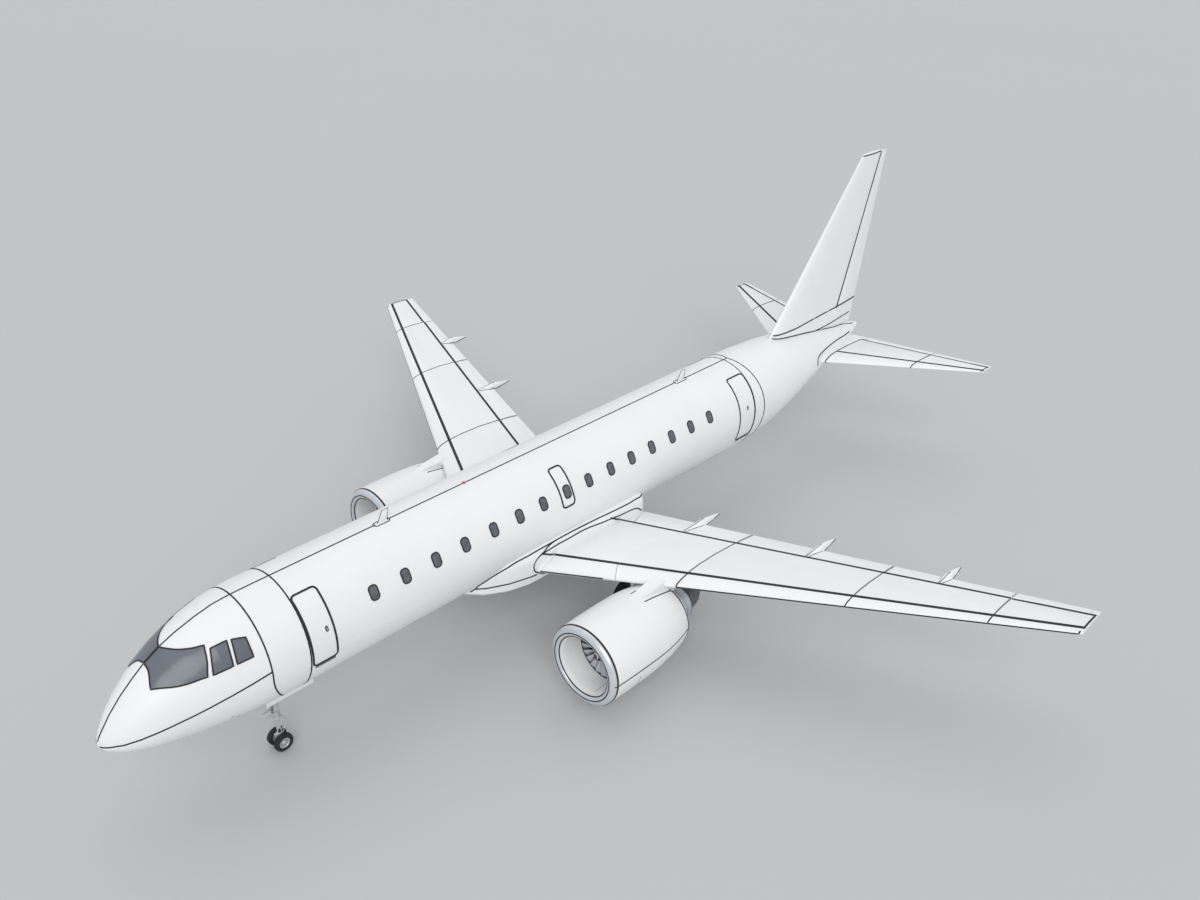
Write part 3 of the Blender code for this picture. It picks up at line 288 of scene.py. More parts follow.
def span_path(skin, line, offset, first, last, side, face, step=0.6):
    return [skin(line(y) + offset, side * y, face) for y in spread_values(first, last, step)]


def chord_path(skin, span, first, last, side, face, step=0.12):
    return [skin(s, side * span, face) for s in spread_values(first, last, step)]


def lead_path(where, lead, middle, span, side, reach, count=12, high=85.0, low=-80.0):
    """Path round a leading edge: rays towards a point inside the surface, in the plane of the chord."""
    core = at(lead(span) + reach, side * span, middle(span))
    path = []
    for k in range(count + 1):
        turn = math.radians(high + (low - high) * k / count)
        out = Vector((math.cos(turn), 0.0, math.sin(turn)))
        path.append(cast(where, core + out * 3.0, -out))
    return path


def curve_through(points, steps):
    """Smooth run of points through given ones."""
    points = [Vector(p) for p in points]
    ends = [points[0] * 2 - points[1], *points, points[-1] * 2 - points[-2]]
    run = []
    for i in range(1, len(ends) - 2):
        p0, p1, p2, p3 = ends[i - 1:i + 3]
        for k in range(steps):
            t = k / steps
            run.append(0.5 * (2 * p1 + (p2 - p0) * t + (2 * p0 - 5 * p1 + 4 * p2 - p3) * t * t +
                              (3 * p1 - p0 - 3 * p2 + p3) * t ** 3))
    return run


def flat_curve(pairs, steps, end=True):
    """Smooth run of pairs through given pairs, with or without the last one."""
    run = curve_through([(a, b, 0.0) for a, b in pairs], steps)
    if end:
        run.append(Vector((*pairs[-1], 0.0)))
    return [(p.x, p.y) for p in run]


def flank_path(pairs, side, other, step=0.12):
    """Smooth path through (station, z) pairs on the flank."""
    count = max(2, int(abs(pairs[-1][0] - pairs[0][0]) / len(pairs) / step))
    return [flank(s, z, side, other) for s, z in flat_curve(pairs, count)]


def between(value, pairs):
    """Value read from a table of pairs, along straight lines."""
    return float(np.interp(value, *zip(*pairs)))


def rounded(half_u, half_v, radius, steps=5):
    """Outline of a rounded rectangle about (0, 0)."""
    outline = []
    for cu, cv, start in ((1, 1, 0), (-1, 1, 90), (-1, -1, 180), (1, -1, 270)):
        for k in range(steps + 1):
            a = math.radians(start + 90.0 * k / steps)
            outline.append((cu * (half_u - radius) + radius * math.cos(a),
                            cv * (half_v - radius) + radius * math.sin(a)))
    return outline


def dense(outline, step):
    """The same closed outline with more points along its straight runs."""
    out = []
    for a, b in zip(outline, outline[1:] + outline[:1]):
        a, b = Vector(a), Vector(b)
        pieces = max(1, int((b - a).length / step))
        out += [tuple(a + (b - a) * k / pieces) for k in range(pieces)]
    return out


def ring_about(centre, u, v, radius, count):
    return [centre + radius * (math.cos(a) * u + math.sin(a) * v) for a in full_turn(count)]


def axes_about(axis):
    """Unit axis and two directions square to it."""
    axis = axis.normalized()
    u = axis.orthogonal().normalized()
    return axis, u, axis.cross(u)


def heading(path, i, closed):
    """Direction of a path of points at one of them."""
    count = len(path)
    back = path[(i - 1) % count if closed else max(i - 1, 0)]
    ahead = path[(i + 1) % count if closed else min(i + 1, count - 1)]
    return (ahead - back).normalized()


def band(a, b, count):
    """Faces between two rings of points, which start at a and at b."""
    return [(a + i, a + (i + 1) % count, b + (i + 1) % count, b + i) for i in range(count)]


# Half of a line's drawn width, for each unit of its given width; given widths of fine and common lines
HALF_LINE = 0.66
HAIR = 0.012
LINE = 0.034
PATCH_STEPS = (1.0, 0.8, 0.6, 0.4, 0.2)
FINE_STEPS = (1.0, 0.9, 0.8, 0.7, 0.6, 0.5, 0.4, 0.3, 0.2, 0.1)


class Kit:
    """Points and faces gathered for one piece."""

    def __init__(self):
        self.points, self.faces = [], []

    def add(self, points, faces):
        start = len(self.points)
        self.points += points
        self.faces += [tuple(start + i for i in f) for f in faces]

    def loft(self, rings, closed=False):
        count, last = len(rings[0]), len(rings) - 1
        faces = []
        for r in range(last):
            faces += band(r * count, (r + 1) * count, count)
        if closed:
            faces += band(last * count, 0, count)
        else:
            faces.append(tuple(range(count)))
            faces.append(tuple(last * count + i for i in reversed(range(count))))
        self.add([p for ring in rings for p in ring], faces)

    def ribbon(self, path, width, proud=0.006, depth=0.006, closed=False):
        """Strip of a skin-following path of (point, normal) pairs."""
        path = [p for p in path if p is not None]
        if len(path) < 2:
            return
        points = [point for point, _ in path]
        rings = []
        for i, (point, normal) in enumerate(path):
            across = heading(points, i, closed).cross(normal).normalized() * width * HALF_LINE
            top, low = normal * proud, normal * -depth
            rings.append([point + across + top, point - across + top, point - across + low,
                          point + across + low])
        self.loft(rings, closed)

    def patch(self, outline, place, proud=0.006, depth=0.006, steps=PATCH_STEPS):
        """Closed pad over a skin within an outline of (u, v) pairs about (0, 0)."""
        count = len(outline)
        rows = [[place(u * s, v * s) for u, v in outline] for s in steps]
        centre, out = place(0.0, 0.0)
        points = [point + normal * proud for row in rows for point, normal in row]
        points += [point - normal * depth for point, normal in rows[0]]
        points.append(centre + out * proud)
        faces = []
        for r in range(len(steps) - 1):
            faces += band(r * count, (r + 1) * count, count)
        inner, low = (len(steps) - 1) * count, len(steps) * count
        faces += [(inner + i, inner + (i + 1) % count, len(points) - 1) for i in range(count)]
        faces += band(0, low, count)
        faces.append(tuple(range(low, low + count)))
        self.add(points, faces)

    def outline(self, pairs, place, width, proud=0.006, depth=0.006):
        """Closed line over a skin through (u, v) pairs."""
        self.ribbon([place(u, v) for u, v in pairs], width, proud, depth, closed=True)

    def tube(self, path, radius, sides=10, closed=False):
        """Round bar along a path of points; radius is one number or one per point."""
        radii = radius if isinstance(radius, tuple) else (radius,) * len(path)
        rings = []
        side = heading(path, 0, closed).orthogonal().normalized()
        for i, point in enumerate(path):
            along = heading(path, i, closed)
            side = (side - along * side.dot(along)).normalized()
            rings.append(ring_about(point, side, along.cross(side), radii[i], sides))
        self.loft(rings, closed)

    def turned(self, centre, axis, profile, sides=48, loop=False):
        """Turned body: profile pairs (distance along the axis, radius)."""
        axis, u, v = axes_about(axis)
        self.loft([ring_about(centre + axis * distance, u, v, max(radius, 1e-4), sides)
                   for distance, radius in profile], closed=loop)

    def hoop(self, centre, axis, first, last, inner, outer, sides, loop=True):
        """Turned ring of rectangular section, or a disc when it isn't a loop."""
        self.turned(centre, axis, ((first, inner), (first, outer), (last, outer), (last, inner)), sides, loop)

    def box(self, centre, half, axes=(X, Y, Z)):
        """Block about a centre, with half sizes along three axes."""
        a, b, c = (axis.normalized() * h for axis, h in zip(axes, half))
        self.loft([[centre + s * a + t * b + w * c for t, w in ((-1, -1), (1, -1), (1, 1), (-1, 1))]
                   for s in (-1, 1)])

    def make(self, name, paint, slot=None, body="root", smooth=True, angle=35.0):
        """Mesh piece that rides on a CAD body; the slot, its paint's unless one is given, is worked out but
        not used.
        """
        mesh = bpy.data.meshes.new(name)
        mesh.from_pydata([tuple(p) for p in self.points], [], self.faces)
        bm = bmesh.new()
        bm.from_mesh(mesh)
        bmesh.ops.recalc_face_normals(bm, faces=bm.faces)
        bm.to_mesh(mesh)
        bm.free()
        if smooth:
            mesh.shade_smooth()
            mesh.set_sharp_from_angle(angle=math.radians(angle))
        mesh.materials.append(paint)
        made = bpy.data.objects.new(name, mesh)
        bpy.context.scene.collection.objects.link(made)
        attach(made, body)
        slot = slot or SLOT_OF[paint.name]
        return made

    def lines(self, name, paint=SEAM_AND_SHADE, body="root"):
        """Flat-shaded piece of drawn lines."""
        return self.make(name, paint, "white_paint", body, smooth=False)


def kits(count):
    return [Kit() for _ in range(count)]


# Materials of the CAD nodes that are shown as they are
PAINTED_NODES = (
    (PAINT, ("fuselage", "tail_cone", "belly_fairing", "fin", "rudder", "stabilizer", "elevator", "wing",
             "slat", "flap", "aileron", "door", "overwing", "pylon", "nose_gear_door")),
    (STEEL, ("main_leg", "nose_leg", "nose_steering")),
)
SMOOTH_LIMIT = 32.0


def smooth_group():
    """Modifier that shades the CAD skins smooth across edges flatter than a limit; no point moves."""
    group = bpy.data.node_groups.new("smooth_skin", "GeometryNodeTree")
    for way in ("INPUT", "OUTPUT"):
        group.interface.new_socket("Geometry", in_out=way, socket_type="NodeSocketGeometry")
    nodes, links = group.nodes, group.links
    steps = [nodes.new(kind) for kind in ("NodeGroupInput", "GeometryNodeRemoveAttribute",
                                          "GeometryNodeMergeByDistance", "GeometryNodeSetShadeSmooth",
                                          "GeometryNodeSetShadeSmooth", "NodeGroupOutput")]
    for before, after in zip(steps, steps[1:]):
        links.new(before.outputs[0], after.inputs[0])
    _, drop, merge, faces, edges, _ = steps
    drop.inputs["Name"].default_value = "custom_normal"
    merge.inputs["Distance"].default_value = 0.00005
    faces.domain, edges.domain = "FACE", "EDGE"
    edges.inputs["Shade Smooth"].default_value = False
    angle = nodes.new("GeometryNodeInputMeshEdgeAngle")
    wide = nodes.new("FunctionNodeCompare")
    wide.operation = "GREATER_THAN"
    wide.inputs["B"].default_value = math.radians(SMOOTH_LIMIT)
    links.new(angle.outputs["Unsigned Angle"], wide.inputs["A"])
    links.new(wide.outputs["Result"], edges.inputs["Selection"])
    return group


def paint_nodes():
    group = smooth_group()
    for paint, prefixes in PAINTED_NODES:
        for name, node in NODES.items():
            if name.startswith(prefixes):
                for holder in node.material_slots:
                    holder.material = paint
                node.modifiers.new("smooth_skin", "NODES").node_group = group


# Fuselage
RING_STEPS = 120
LOW_SEAM_ANGLE = -48.0
ARC_TOP = -46
# Crown seam, broken at the windscreen and at the antennas: first and last station, step
CROWN_RUNS = ((0.03, 1.56, 0.03), (2.06, 4.9, 0.1), (4.9, 8.96, 0.3), (9.40, 22.96, 0.4), (23.48, 26.18, 0.2))


def ring_path(station_of):
    """Path round the fuselage; station_of gives the station for an angle's height, -1 keel to 1 crown."""
    angles = [-90.0 + 360.0 * k / RING_STEPS for k in range(RING_STEPS)]
    return [hull(station_of(math.sin(math.radians(angle))), angle) for angle in angles]


def crown_path(first, last, face=1, step=0.2):
    """Path on the fuselage's middle plane, on its crown (+1) or its keel (-1)."""
    return [crown(station, 0.0, face) for station in spread_values(first, last, step)]


def nose_seam_station(h):
    """Station of the nose's seam at a height h: it sweeps aft under the nose."""
    return 4.16 + min(0.55, 1.1 * max(0.0, -h - 0.10) ** 1.8)


def bulge_station(h):
    """Station of the tail's outer seam at a height h: furthest aft at the sides."""
    side = math.sqrt(max(0.0, 1.0 - h * h))
    return 26.18 + 0.42 * side if h > 0 else 26.60 - 0.27 * (1.0 - side)


def nose_chine(side):
    """Path along the nose's side, from the tip to the nose's seam; finer towards the tip."""
    shares = [(k / 120.0) ** 1.5 for k in range(121)]
    return [cast(HULL, at(0.02 + 4.14 * s, 3.0 * side, -0.84 + s ** 0.92), Y * -side) for s in shares]


def fuselage_seams():
    main, faint = kits(2)
    for station_of, width in ((nose_seam_station, 0.032), (lambda h: 5.35 - 0.035 * (1.0 - h), 0.032),
                              (lambda h: 25.95, 0.030), (bulge_station, LINE)):
        main.ribbon(ring_path(station_of), width, closed=True)
    for first, last, step in CROWN_RUNS:
        main.ribbon(crown_path(first, last, 1, step), 0.030, proud=0.009)
    for side in (1, -1):
        main.ribbon(nose_chine(side), 0.030, proud=0.009)

    def arcs(stations, low):
        for station in stations:
            for side in (1, -1):
                faint.ribbon([hull(station, mirrored(a, side)) for a in range(low, ARC_TOP, 3)], HAIR)

    arcs((7.05, 9.65, 22.6), -84)
    for side in (1, -1):
        for first, last in ((6.4, 11.0), (21.6, 24.8)):
            angle = mirrored(LOW_SEAM_ANGLE, side)
            faint.ribbon([hull(s, angle) for s in spread_values(first, last, 0.25)], HAIR)
    for first, last in ((0.10, 4.40), (6.15, 11.0), (21.5, 36.1)):
        faint.ribbon(crown_path(first, last, -1), 0.014)
    arcs((28.6, 31.4, 34.0), -90)
    main.lines("fuselage_seams")
    faint.lines("fuselage_faint_seams", FAINT)


WINDOW_STATIONS = (7.66, 8.80, 9.95, 11.09, 12.26, 13.36, 14.42, 15.51, 16.56, 17.66, 18.74, 19.83,
                   20.95, 22.05, 23.17)
WINDOW_ANGLE = 28.4
WINDOW_OUTLINE = dense(rounded(0.143, 0.223, 0.118, 6), 0.035)


def cabin_windows():
    frames, panes, shades = kits(3)
    for _, side in SIDES:
        for station in WINDOW_STATIONS:
            place = skin_place(station, WINDOW_ANGLE, side)
            frames.outline(WINDOW_OUTLINE, place, 0.030, proud=0.012)
            panes.patch(WINDOW_OUTLINE, place, proud=0.008)
            shades.ribbon([place(u, 0.115) for u in (-0.12, -0.06, 0.0, 0.06, 0.12)], 0.014, proud=0.0095)
    frames.make("cabin_window_frames", SEAM_AND_SHADE)
    panes.make("cabin_window_panes", PANE)
    shades.make("cabin_window_shades", FAINT, "cockpit_glass")


# Forward, aft and overwing doors: stations, angles, width of the line, station and angle of the handle
DOORS = (
    (5.38, 6.17, -13.0, 59.0, 0.045, (5.95, 19.0)),
    (24.95, 25.92, -27.0, 59.5, 0.045, (25.47, 15.4)),
    (15.19, 15.74, 12.5, 58.3, 0.044, None),
)
# Starboard doors are drawn bold up to this distance under their top edge; drop of the sill in degrees
BOLD_LIMIT = 0.30
SILL_DROP = 2.6


def skin_panel(first, last, low, high, side):
    """Placing function and half sizes of a rectangle on the fuselage."""
    place = skin_place((first + last) / 2.0, (low + high) / 2.0, side)
    return place, (last - first) / 2.0, math.radians(high - low) / 2.0 * RADIUS


def door_outlines():
    """Dark outlines, with a fine edge round the top to starboard; handles and sills."""
    lines, thin, handles, levers, sills = kits(5)
    for first, last, low, high, width, handle in DOORS:
        for _, side in SIDES:
            place, half_u, half_v = skin_panel(first, last, low, high, side)
            outline = dense(rounded(half_u, half_v, 0.13), 0.05)
            if side > 0:
                lines.outline(outline, place, width, proud=0.008)
            else:
                limit = half_v - BOLD_LIMIT
                start = next(i for i, (u, v) in enumerate(outline) if v <= limit < outline[i - 1][1])
                outline = outline[start:] + outline[:start]
                lines.ribbon([place(u, v) for u, v in outline if v <= limit], width, proud=0.008)
                thin.ribbon([place(u, v) for u, v in outline if v > limit - 0.05], HAIR)
            if handle:
                spot = skin_place(*handle, side)
                handles.patch(rounded(0.045, 0.085, 0.04, 4), spot, proud=0.008)
                grip = [spot(0.0, v) for v in (-0.055, -0.02, 0.02, 0.055)]
                levers.tube([p + n * 0.014 for p, n in grip], 0.012, 8)
                sill = skin_place((first + last) / 2.0, low - SILL_DROP, side)
                sills.patch(dense(rounded(half_u - 0.06, 0.035, 0.03, 3), 0.06), sill)
    lines.lines("door_outlines")
    thin.lines("door_top_edges", FAINT)
    handles.make("door_handle_cups", SEAM_AND_SHADE, "gear_metal")
    levers.make("door_handles", STEEL)
    sills.make("door_sills", FAINT, "gear_metal")


# Cockpit panes: CAD node, outward direction, edges of the outline; each edge is a run of skin points
# (station, y, z) that goes on from the last point of the edge before it
PANES = (
    ("windscreen", (0.55, 0.0, 0.835),
     (((1.538, 0.304, 0.878), (1.387, 0.608, 0.572)),
      ((1.972, 1.011, 0.585), (2.62, 1.257, 0.635)),
      ((2.754, 1.08, 0.988), (2.867, 0.814, 1.292)),
      ((2.554, 0.663, 1.273), (2.278, 0.434, 1.264), (2.084, 0.146, 1.254), (2.037, 0.02, 1.243)),
      ((1.581, 0.02, 0.959),))),
    ("side_window_front", (0.26, 0.78, 0.56),
     (((3.377, 1.04, 1.286),), ((3.274, 1.424, 0.707),), ((2.755, 1.30, 0.637),), ((2.95, 0.95, 1.215),))),
    ("side_window_rear", (0.21, 0.81, 0.55),
     (((3.827, 1.211, 1.236),), ((3.814, 1.522, 0.767),), ((3.377, 1.445, 0.721),),
      ((3.487, 1.084, 1.281),))),
)


def cockpit_glass():
    """Curved panes in dark seals over the flat-edged CAD panes."""
    seals = Kit()
    for node, direction, edges in PANES:
        outline = []
        for before, edge in zip(edges[-1:] + edges, edges):
            outline += curve_through((before[-1], *edge), 10 if len(edge) == 1 else 8)
        centre = sum(outline, Vector()) / len(outline)
        for name, side in SIDES:
            out = Vector((direction[0], side * direction[1], direction[2])).normalized()
            along = Z.cross(out).normalized()
            up = out.cross(along)
            middle = at(centre.x, side * centre.y, centre.z)

            def place(u, v, middle=middle, along=along, up=up, out=out):
                return cast(HULL, middle + along * u + up * v + out * 1.5, -out)

            flat = [at(p.x, side * p.y, p.z) - middle for p in outline]
            flat = [(p.dot(along), p.dot(up)) for p in flat]
            glass = Kit()
            glass.patch(flat, place, depth=0.02, steps=FINE_STEPS)
            made = glass.make(node + "_glass_" + name, GLASS, angle=60.0)
            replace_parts(made, node + "_" + name)
            seals.outline(flat, place, LINE, proud=0.010, depth=0.02)
    seals.lines("cockpit_seals")


# Blade antennas: station and half length of the base, stations of the blade's foot and of its top
ANTENNAS = ((9.18, 0.28, 8.99, 9.37, 9.22, 9.45), (23.22, 0.32, 22.99, 23.45, 23.26, 23.49))
ANTENNA_FOOT = 1.70
ANTENNA_HEIGHT = 0.50


def antenna_lines():
    plates, edges = kits(2)
    for station, length, foot_front, foot_back, top_front, top_back in ANTENNAS:
        path = [crown(station + u, v) for u, v in dense(rounded(length, 0.10, 0.09), 0.08)]
        plates.ribbon(path, 0.022, closed=True)
        share = (RADIUS - ANTENNA_FOOT) / ANTENNA_HEIGHT
        front, back = (at(foot + (top - foot) * share, 0.0, RADIUS + 0.004)
                       for foot, top in ((foot_front, top_front), (foot_back, top_back)))
        top = ANTENNA_FOOT + ANTENNA_HEIGHT
        edges.tube([front, at(top_front, 0.0, top), at(top_back, 0.0, top), back], 0.010, 8)
    plates.lines("antenna_base_lines")
    edges.make("antenna_edges", SEAM_AND_SHADE)


# Wings: lines of station over span, and the height of the middle plane over span
SLAT_LINE = line_between((5.96, 16.64), (16.61, 22.04))
FLAP_LINE = line_between((5.99, 19.33), (16.62, 23.01))
WING_LEAD = line_between((1.81, 13.84), (16.66, 21.83))
WING_TRAIL = line_between((1.81, 19.09), (16.66, 23.315))
WING_MIDDLE = line_between((1.81, -1.42), (16.66, 0.073))
RIBS = (5.98, 10.66, 14.34)
SLAT_RIBS = (6.00, 10.66, 14.34)
TIP_RIB = 16.605
# Bold lines: line, offset, further offset below the wing, first and last span, width.
# Ahead of the aileron the wing's skin ends sooner.
WING_RUNS = (
    (SLAT_LINE, 0.034, 0.016, 1.93, 16.62, 0.082),
    (FLAP_LINE, -0.040, -0.016, 1.93, 14.33, 0.076),
    (FLAP_LINE, -0.075, 0.0, 14.37, 16.62, 0.076),
)


def spar_line(share):
    """Line over the span at a share of the way from the slats to the flaps."""
    return lambda y: SLAT_LINE(y) + share * (FLAP_LINE(y) - SLAT_LINE(y))


def box_path(span, gap, side, face):
    """Path along the chord from the slats to the flaps, short of both by a gap."""
    return chord_path(wing_skin, span, SLAT_LINE(span) + gap, FLAP_LINE(span) - gap, side, face)


def wing_lines():
    for name, side in SIDES:
        bold, thin = kits(2)
        for face in (1, -1):
            for line, offset, below, first, last, width in WING_RUNS:
                offset += below if face < 0 else 0.0
                bold.ribbon(span_path(wing_skin, line, offset, first, last, side, face), width)
            for span in RIBS:
                thin.ribbon(box_path(span, 0.05, side, face), LINE)
        for share in (0.33, 0.62):
            thin.ribbon(span_path(wing_skin, spar_line(share), 0.0, 2.2, 16.3, side, -1), HAIR)
        for face in (1, -1):
            bold.ribbon(box_path(TIP_RIB, 0.03, side, face), 0.044)
        bold.lines("wing_lines_" + name)
        thin.lines("wing_rib_lines_" + name, FAINT)


def wing_lead_path(side, span, reach, *turns):
    return lead_path(WINGS[side], WING_LEAD, WING_MIDDLE, span, side, reach, *turns)


# Grey lines across the flaps' ends, painted shade of the gaps between the flaps: flap, end, span
FLAP_ENDS = (("flap_inner_", "end", 5.98), ("flap_middle_", "end", 10.66), ("flap_outer_", "end", 14.34),
             ("flap_middle_", "start", 5.98), ("flap_outer_", "start", 10.66))
FLAP_END_GAP = 0.022


def slat_flap_lines():
    """Rib lines carried on over the slats and the flaps, which take them along."""
    for name, side in SIDES:
        inner, outer = kits(2)
        for y in SLAT_RIBS:
            top = chord_path(wing_skin, y, SLAT_LINE(y) - 0.02, WING_LEAD(y) + 0.18, side, 1)
            outer.ribbon(top + wing_lead_path(side, y, 0.16)[2:-2], 0.030)
        outer.ribbon(wing_lead_path(side, 16.57, 0.10), LINE)
        for slat, first, last in ((inner, 1.97, 3.86), (outer, 6.00, 16.55)):
            spans = spread_values(first, last, 0.5)
            slat.ribbon([wing_lead_path(side, y, 0.16, 1, -5.0, -9.0)[0] for y in spans], 0.042)
        inner.lines("slat_inner_line_" + name, SEAM_AND_SHADE, "slat_inner_" + name)
        outer.lines("slat_outer_lines_" + name, SEAM_AND_SHADE, "slat_outer_" + name)
        # Lines at the flaps' ends: painted shade of the gaps between the flaps
        for flap, end, span in FLAP_ENDS:
            y = span + (FLAP_END_GAP if end == "start" else -FLAP_END_GAP)
            kit = Kit()
            for face in (1, -1):
                first, last = FLAP_LINE(y) + 0.05, WING_TRAIL(y) - 0.02
                kit.ribbon(chord_path(wing_skin, y, first, last, side, face, 0.1), 0.018)
            kit.lines(flap + end + "_line_" + name, FAINT, flap + name)


# Access panels under the wings: first span, last span, spacing, share of the box's depth
PANEL_ROWS = ((2.9, 5.6, 0.90, 0.48), (6.5, 15.9, 0.85, 0.47))
PANEL_SWEEP = 0.42
PANEL_HALF = (0.26, 0.15)
SCREW_SHARE = 0.86


def wing_panels():
    lines, screws = kits(2)
    for name, side in SIDES:
        for first, last, pitch, share in PANEL_ROWS:
            for y in spread_values(first, last, pitch):
                depth = FLAP_LINE(y) - SLAT_LINE(y)
                station = SLAT_LINE(y) + share * depth
                size = min(1.0, 0.5 + depth / 5.0)

                def place(u, v, station=station, y=y, side=side):
                    return wing_skin(station + v + PANEL_SWEEP * u, side * (y + u), -1)

                half_u, half_v = (half * size for half in PANEL_HALF)
                outline = [(half_u * math.cos(a), half_v * math.sin(a)) for a in full_turn(24)]
                lines.outline(outline, place, HAIR)
                for u, v in outline[::3]:
                    spot, out = place(u * SCREW_SHARE, v * SCREW_SHARE)
                    screws.turned(spot - out * 0.004, out, ((0.0, 0.008), (0.006, 0.008)), 6)
    lines.lines("wing_access_panels", FAINT)
    screws.make("wing_panel_screws", STEEL, smooth=False)


# Flap-track pods: flap, span, station of the front tip, reach behind the trailing edge
PODS = (("flap_inner_", 4.15, 17.38, 1.00), ("flap_middle_", 8.25, 18.98, 0.98),
        ("flap_outer_", 12.30, 20.54, 0.86))
POD_STEPS = 8


def pod_rows(span, side, behind):
    """Sections of a pod's upper half: station, half width, heights of its top and of its foot."""
    line, trail = FLAP_LINE(span), WING_TRAIL(span)
    rows = []
    for share in (0.06, 0.2, 0.4, 0.6, 0.8, 0.96):
        station = line + share * (trail - line)
        flap = wing_skin(station, side * span, 1)[0].z
        rows.append((station, 0.03 + 0.11 * share ** 0.7, flap + 0.03 + 0.11 * share, flap - 0.03))
    last, middle = rows[-1][2], AXIS_HEIGHT + WING_MIDDLE(span)
    for share in (0.12, 0.35, 0.6, 0.82, 1.0):
        rows.append((trail + share * behind, 0.135 - 0.112 * share,
                     last + (middle + 0.012 - last) * share ** 1.3, middle - 0.05 * (1.0 - share)))
    return rows


def pods():
    """Seams under the pods, and the upper halves of their tails, which the flaps carry."""
    turns = [math.pi * k / POD_STEPS for k in range(POD_STEPS + 1)]
    for name, side in SIDES:
        where = tree("wing_" + name, *(flap + name for flap, _, _, _ in PODS))
        keels = Kit()
        for flap, span, front, behind in PODS:
            stations = spread_values(front + 0.1, FLAP_LINE(span) - 0.1, 0.12)
            keels.ribbon([cast(where, at(s, side * span, -4.0), Z) for s in stations], HAIR)
            rows = pod_rows(span, side, behind)
            rings = [[at(station, side * (span + half * math.cos(turn)), 0.0) +
                      Z * (foot + (top - foot) * math.sin(turn) - AXIS_HEIGHT) for turn in turns]
                     for station, half, top, foot in rows]
            ridge, edges = kits(2)
            ridge.loft(rings)
            for k, sideways in ((0, Y * side), (POD_STEPS, Y * -side)):
                edge = []
                for ring, (station, _, _, _) in zip(rings, rows):
                    skin = wing_skin(station, ring[k].y, 1) if station < WING_TRAIL(span) else None
                    spot = skin[0] if skin else ring[k]
                    edge.append((spot + sideways * 0.004, (sideways + Z).normalized()))
                edges.ribbon(edge, 0.022)
            edges.ribbon([(ring[POD_STEPS // 2], Z) for ring in rings[:7]], 0.014, proud=0.004)
            ridge.make("pod_top_" + flap + name, PAINT, body=flap + name, angle=60.0)
            edges.lines("pod_edges_" + flap + name, SEAM_AND_SHADE, flap + name)
        keels.lines("pod_keels_" + name, FAINT)


LAMP_PROFILE = ((0.0, 0.0), (0.0, 0.014), (0.06, 0.018), (0.10, 0.012), (0.12, 0.0))


def wing_tips():
    """Position lamps on the tips, and their bases."""
    for name, side in SIDES:
        lamp, base = kits(2)
        place = at(22.02, side * 16.645, 0.10)
        lamp.turned(place - X * 0.05, X, LAMP_PROFILE, 14)
        lamp.make("position_lamp_" + name, RED if side > 0 else GREEN)
        base.box(place - X * 0.03, (0.09, 0.008, 0.022))
        base.make("position_lamp_base_" + name, STEEL)


# Lines on the belly fairing's flank, from the nose aft: station and z
FAIRING_TOP = (
    (11.475, -1.351), (11.62, -1.27), (11.764, -1.128), (12.1, -0.95), (12.533, -0.813), (12.9, -0.745),
    (13.374, -0.711), (14.201, -0.696), (15.079, -0.706), (15.862, -0.725), (16.769, -0.759),
    (17.693, -0.808), (18.2, -0.838), (18.554, -0.855), (18.79, -0.854), (19.03, -0.863), (19.25, -0.88),
    (19.42, -0.945), (19.54, -1.08), (19.64, -1.235), (19.76, -1.40), (19.87, -1.52))
FAIRING_LOW = ((11.62, -1.271), (11.761, -1.289), (12.118, -1.339), (12.499, -1.374), (12.914, -1.416),
               (13.368, -1.466), (13.84, -1.535))
ROOT_TOP = ((13.86, -1.46), (13.75, -1.36), (13.705, -1.228), (13.715, -1.068), (13.825, -0.94),
            (13.992, -0.865), (14.139, -0.829), (14.367, -0.752), (14.622, -0.71), (14.85, -0.70))
ROOT_LOW = ((14.127, -0.838), (14.432, -0.832), (14.876, -0.819), (15.372, -0.832), (15.882, -0.831),
            (16.446, -0.863), (17.008, -0.936), (17.511, -0.989), (17.918, -1.046), (18.345, -1.08),
            (18.632, -1.105), (18.85, -1.17), (19.0, -1.27), (19.085, -1.37))
ROOT_UNDER = ((13.86, -1.46), (14.2, -1.66), (14.8, -1.73), (16.0, -1.74), (17.0, -1.69), (18.0, -1.61),
              (18.8, -1.50))
SLAT_ROOT = ((14.076, -0.826), (14.217, -0.897), (14.348, -0.968), (14.489, -1.048), (14.64, -1.10))
FLAP_ROOT = ((17.43, -0.937), (17.526, -0.995), (17.657, -1.075), (17.80, -1.16), (17.91, -1.20))


def fairing_lines():
    """Edge of the belly fairing, its lower seam, and the wings' root lines."""
    kit, faint = kits(2)
    for side in (1, -1):
        for width, runs in ((LINE, (FAIRING_TOP, FAIRING_LOW, ROOT_TOP, ROOT_LOW, ROOT_UNDER)),
                            (0.046, (SLAT_ROOT, FLAP_ROOT))):
            for pairs in runs:
                kit.ribbon(flank_path(pairs, side, FAIRING), width, proud=0.010, depth=0.012)
    across = [[(s, y) for y in spread_values(-1.5, 1.5, 0.15)] for s in (12.3, 14.0, 16.6, 18.4, 19.9)]
    along = [[(s, y) for s in spread_values(11.9, 16.5, 0.2)] for y in (-0.62, 0.62)]
    for run in across + along:
        faint.ribbon([cast(FAIRING, at(s, y, -4.5), Z) for s, y in run], HAIR)
    kit.lines("fairing_lines")
    faint.lines("fairing_panel_lines", FAINT)


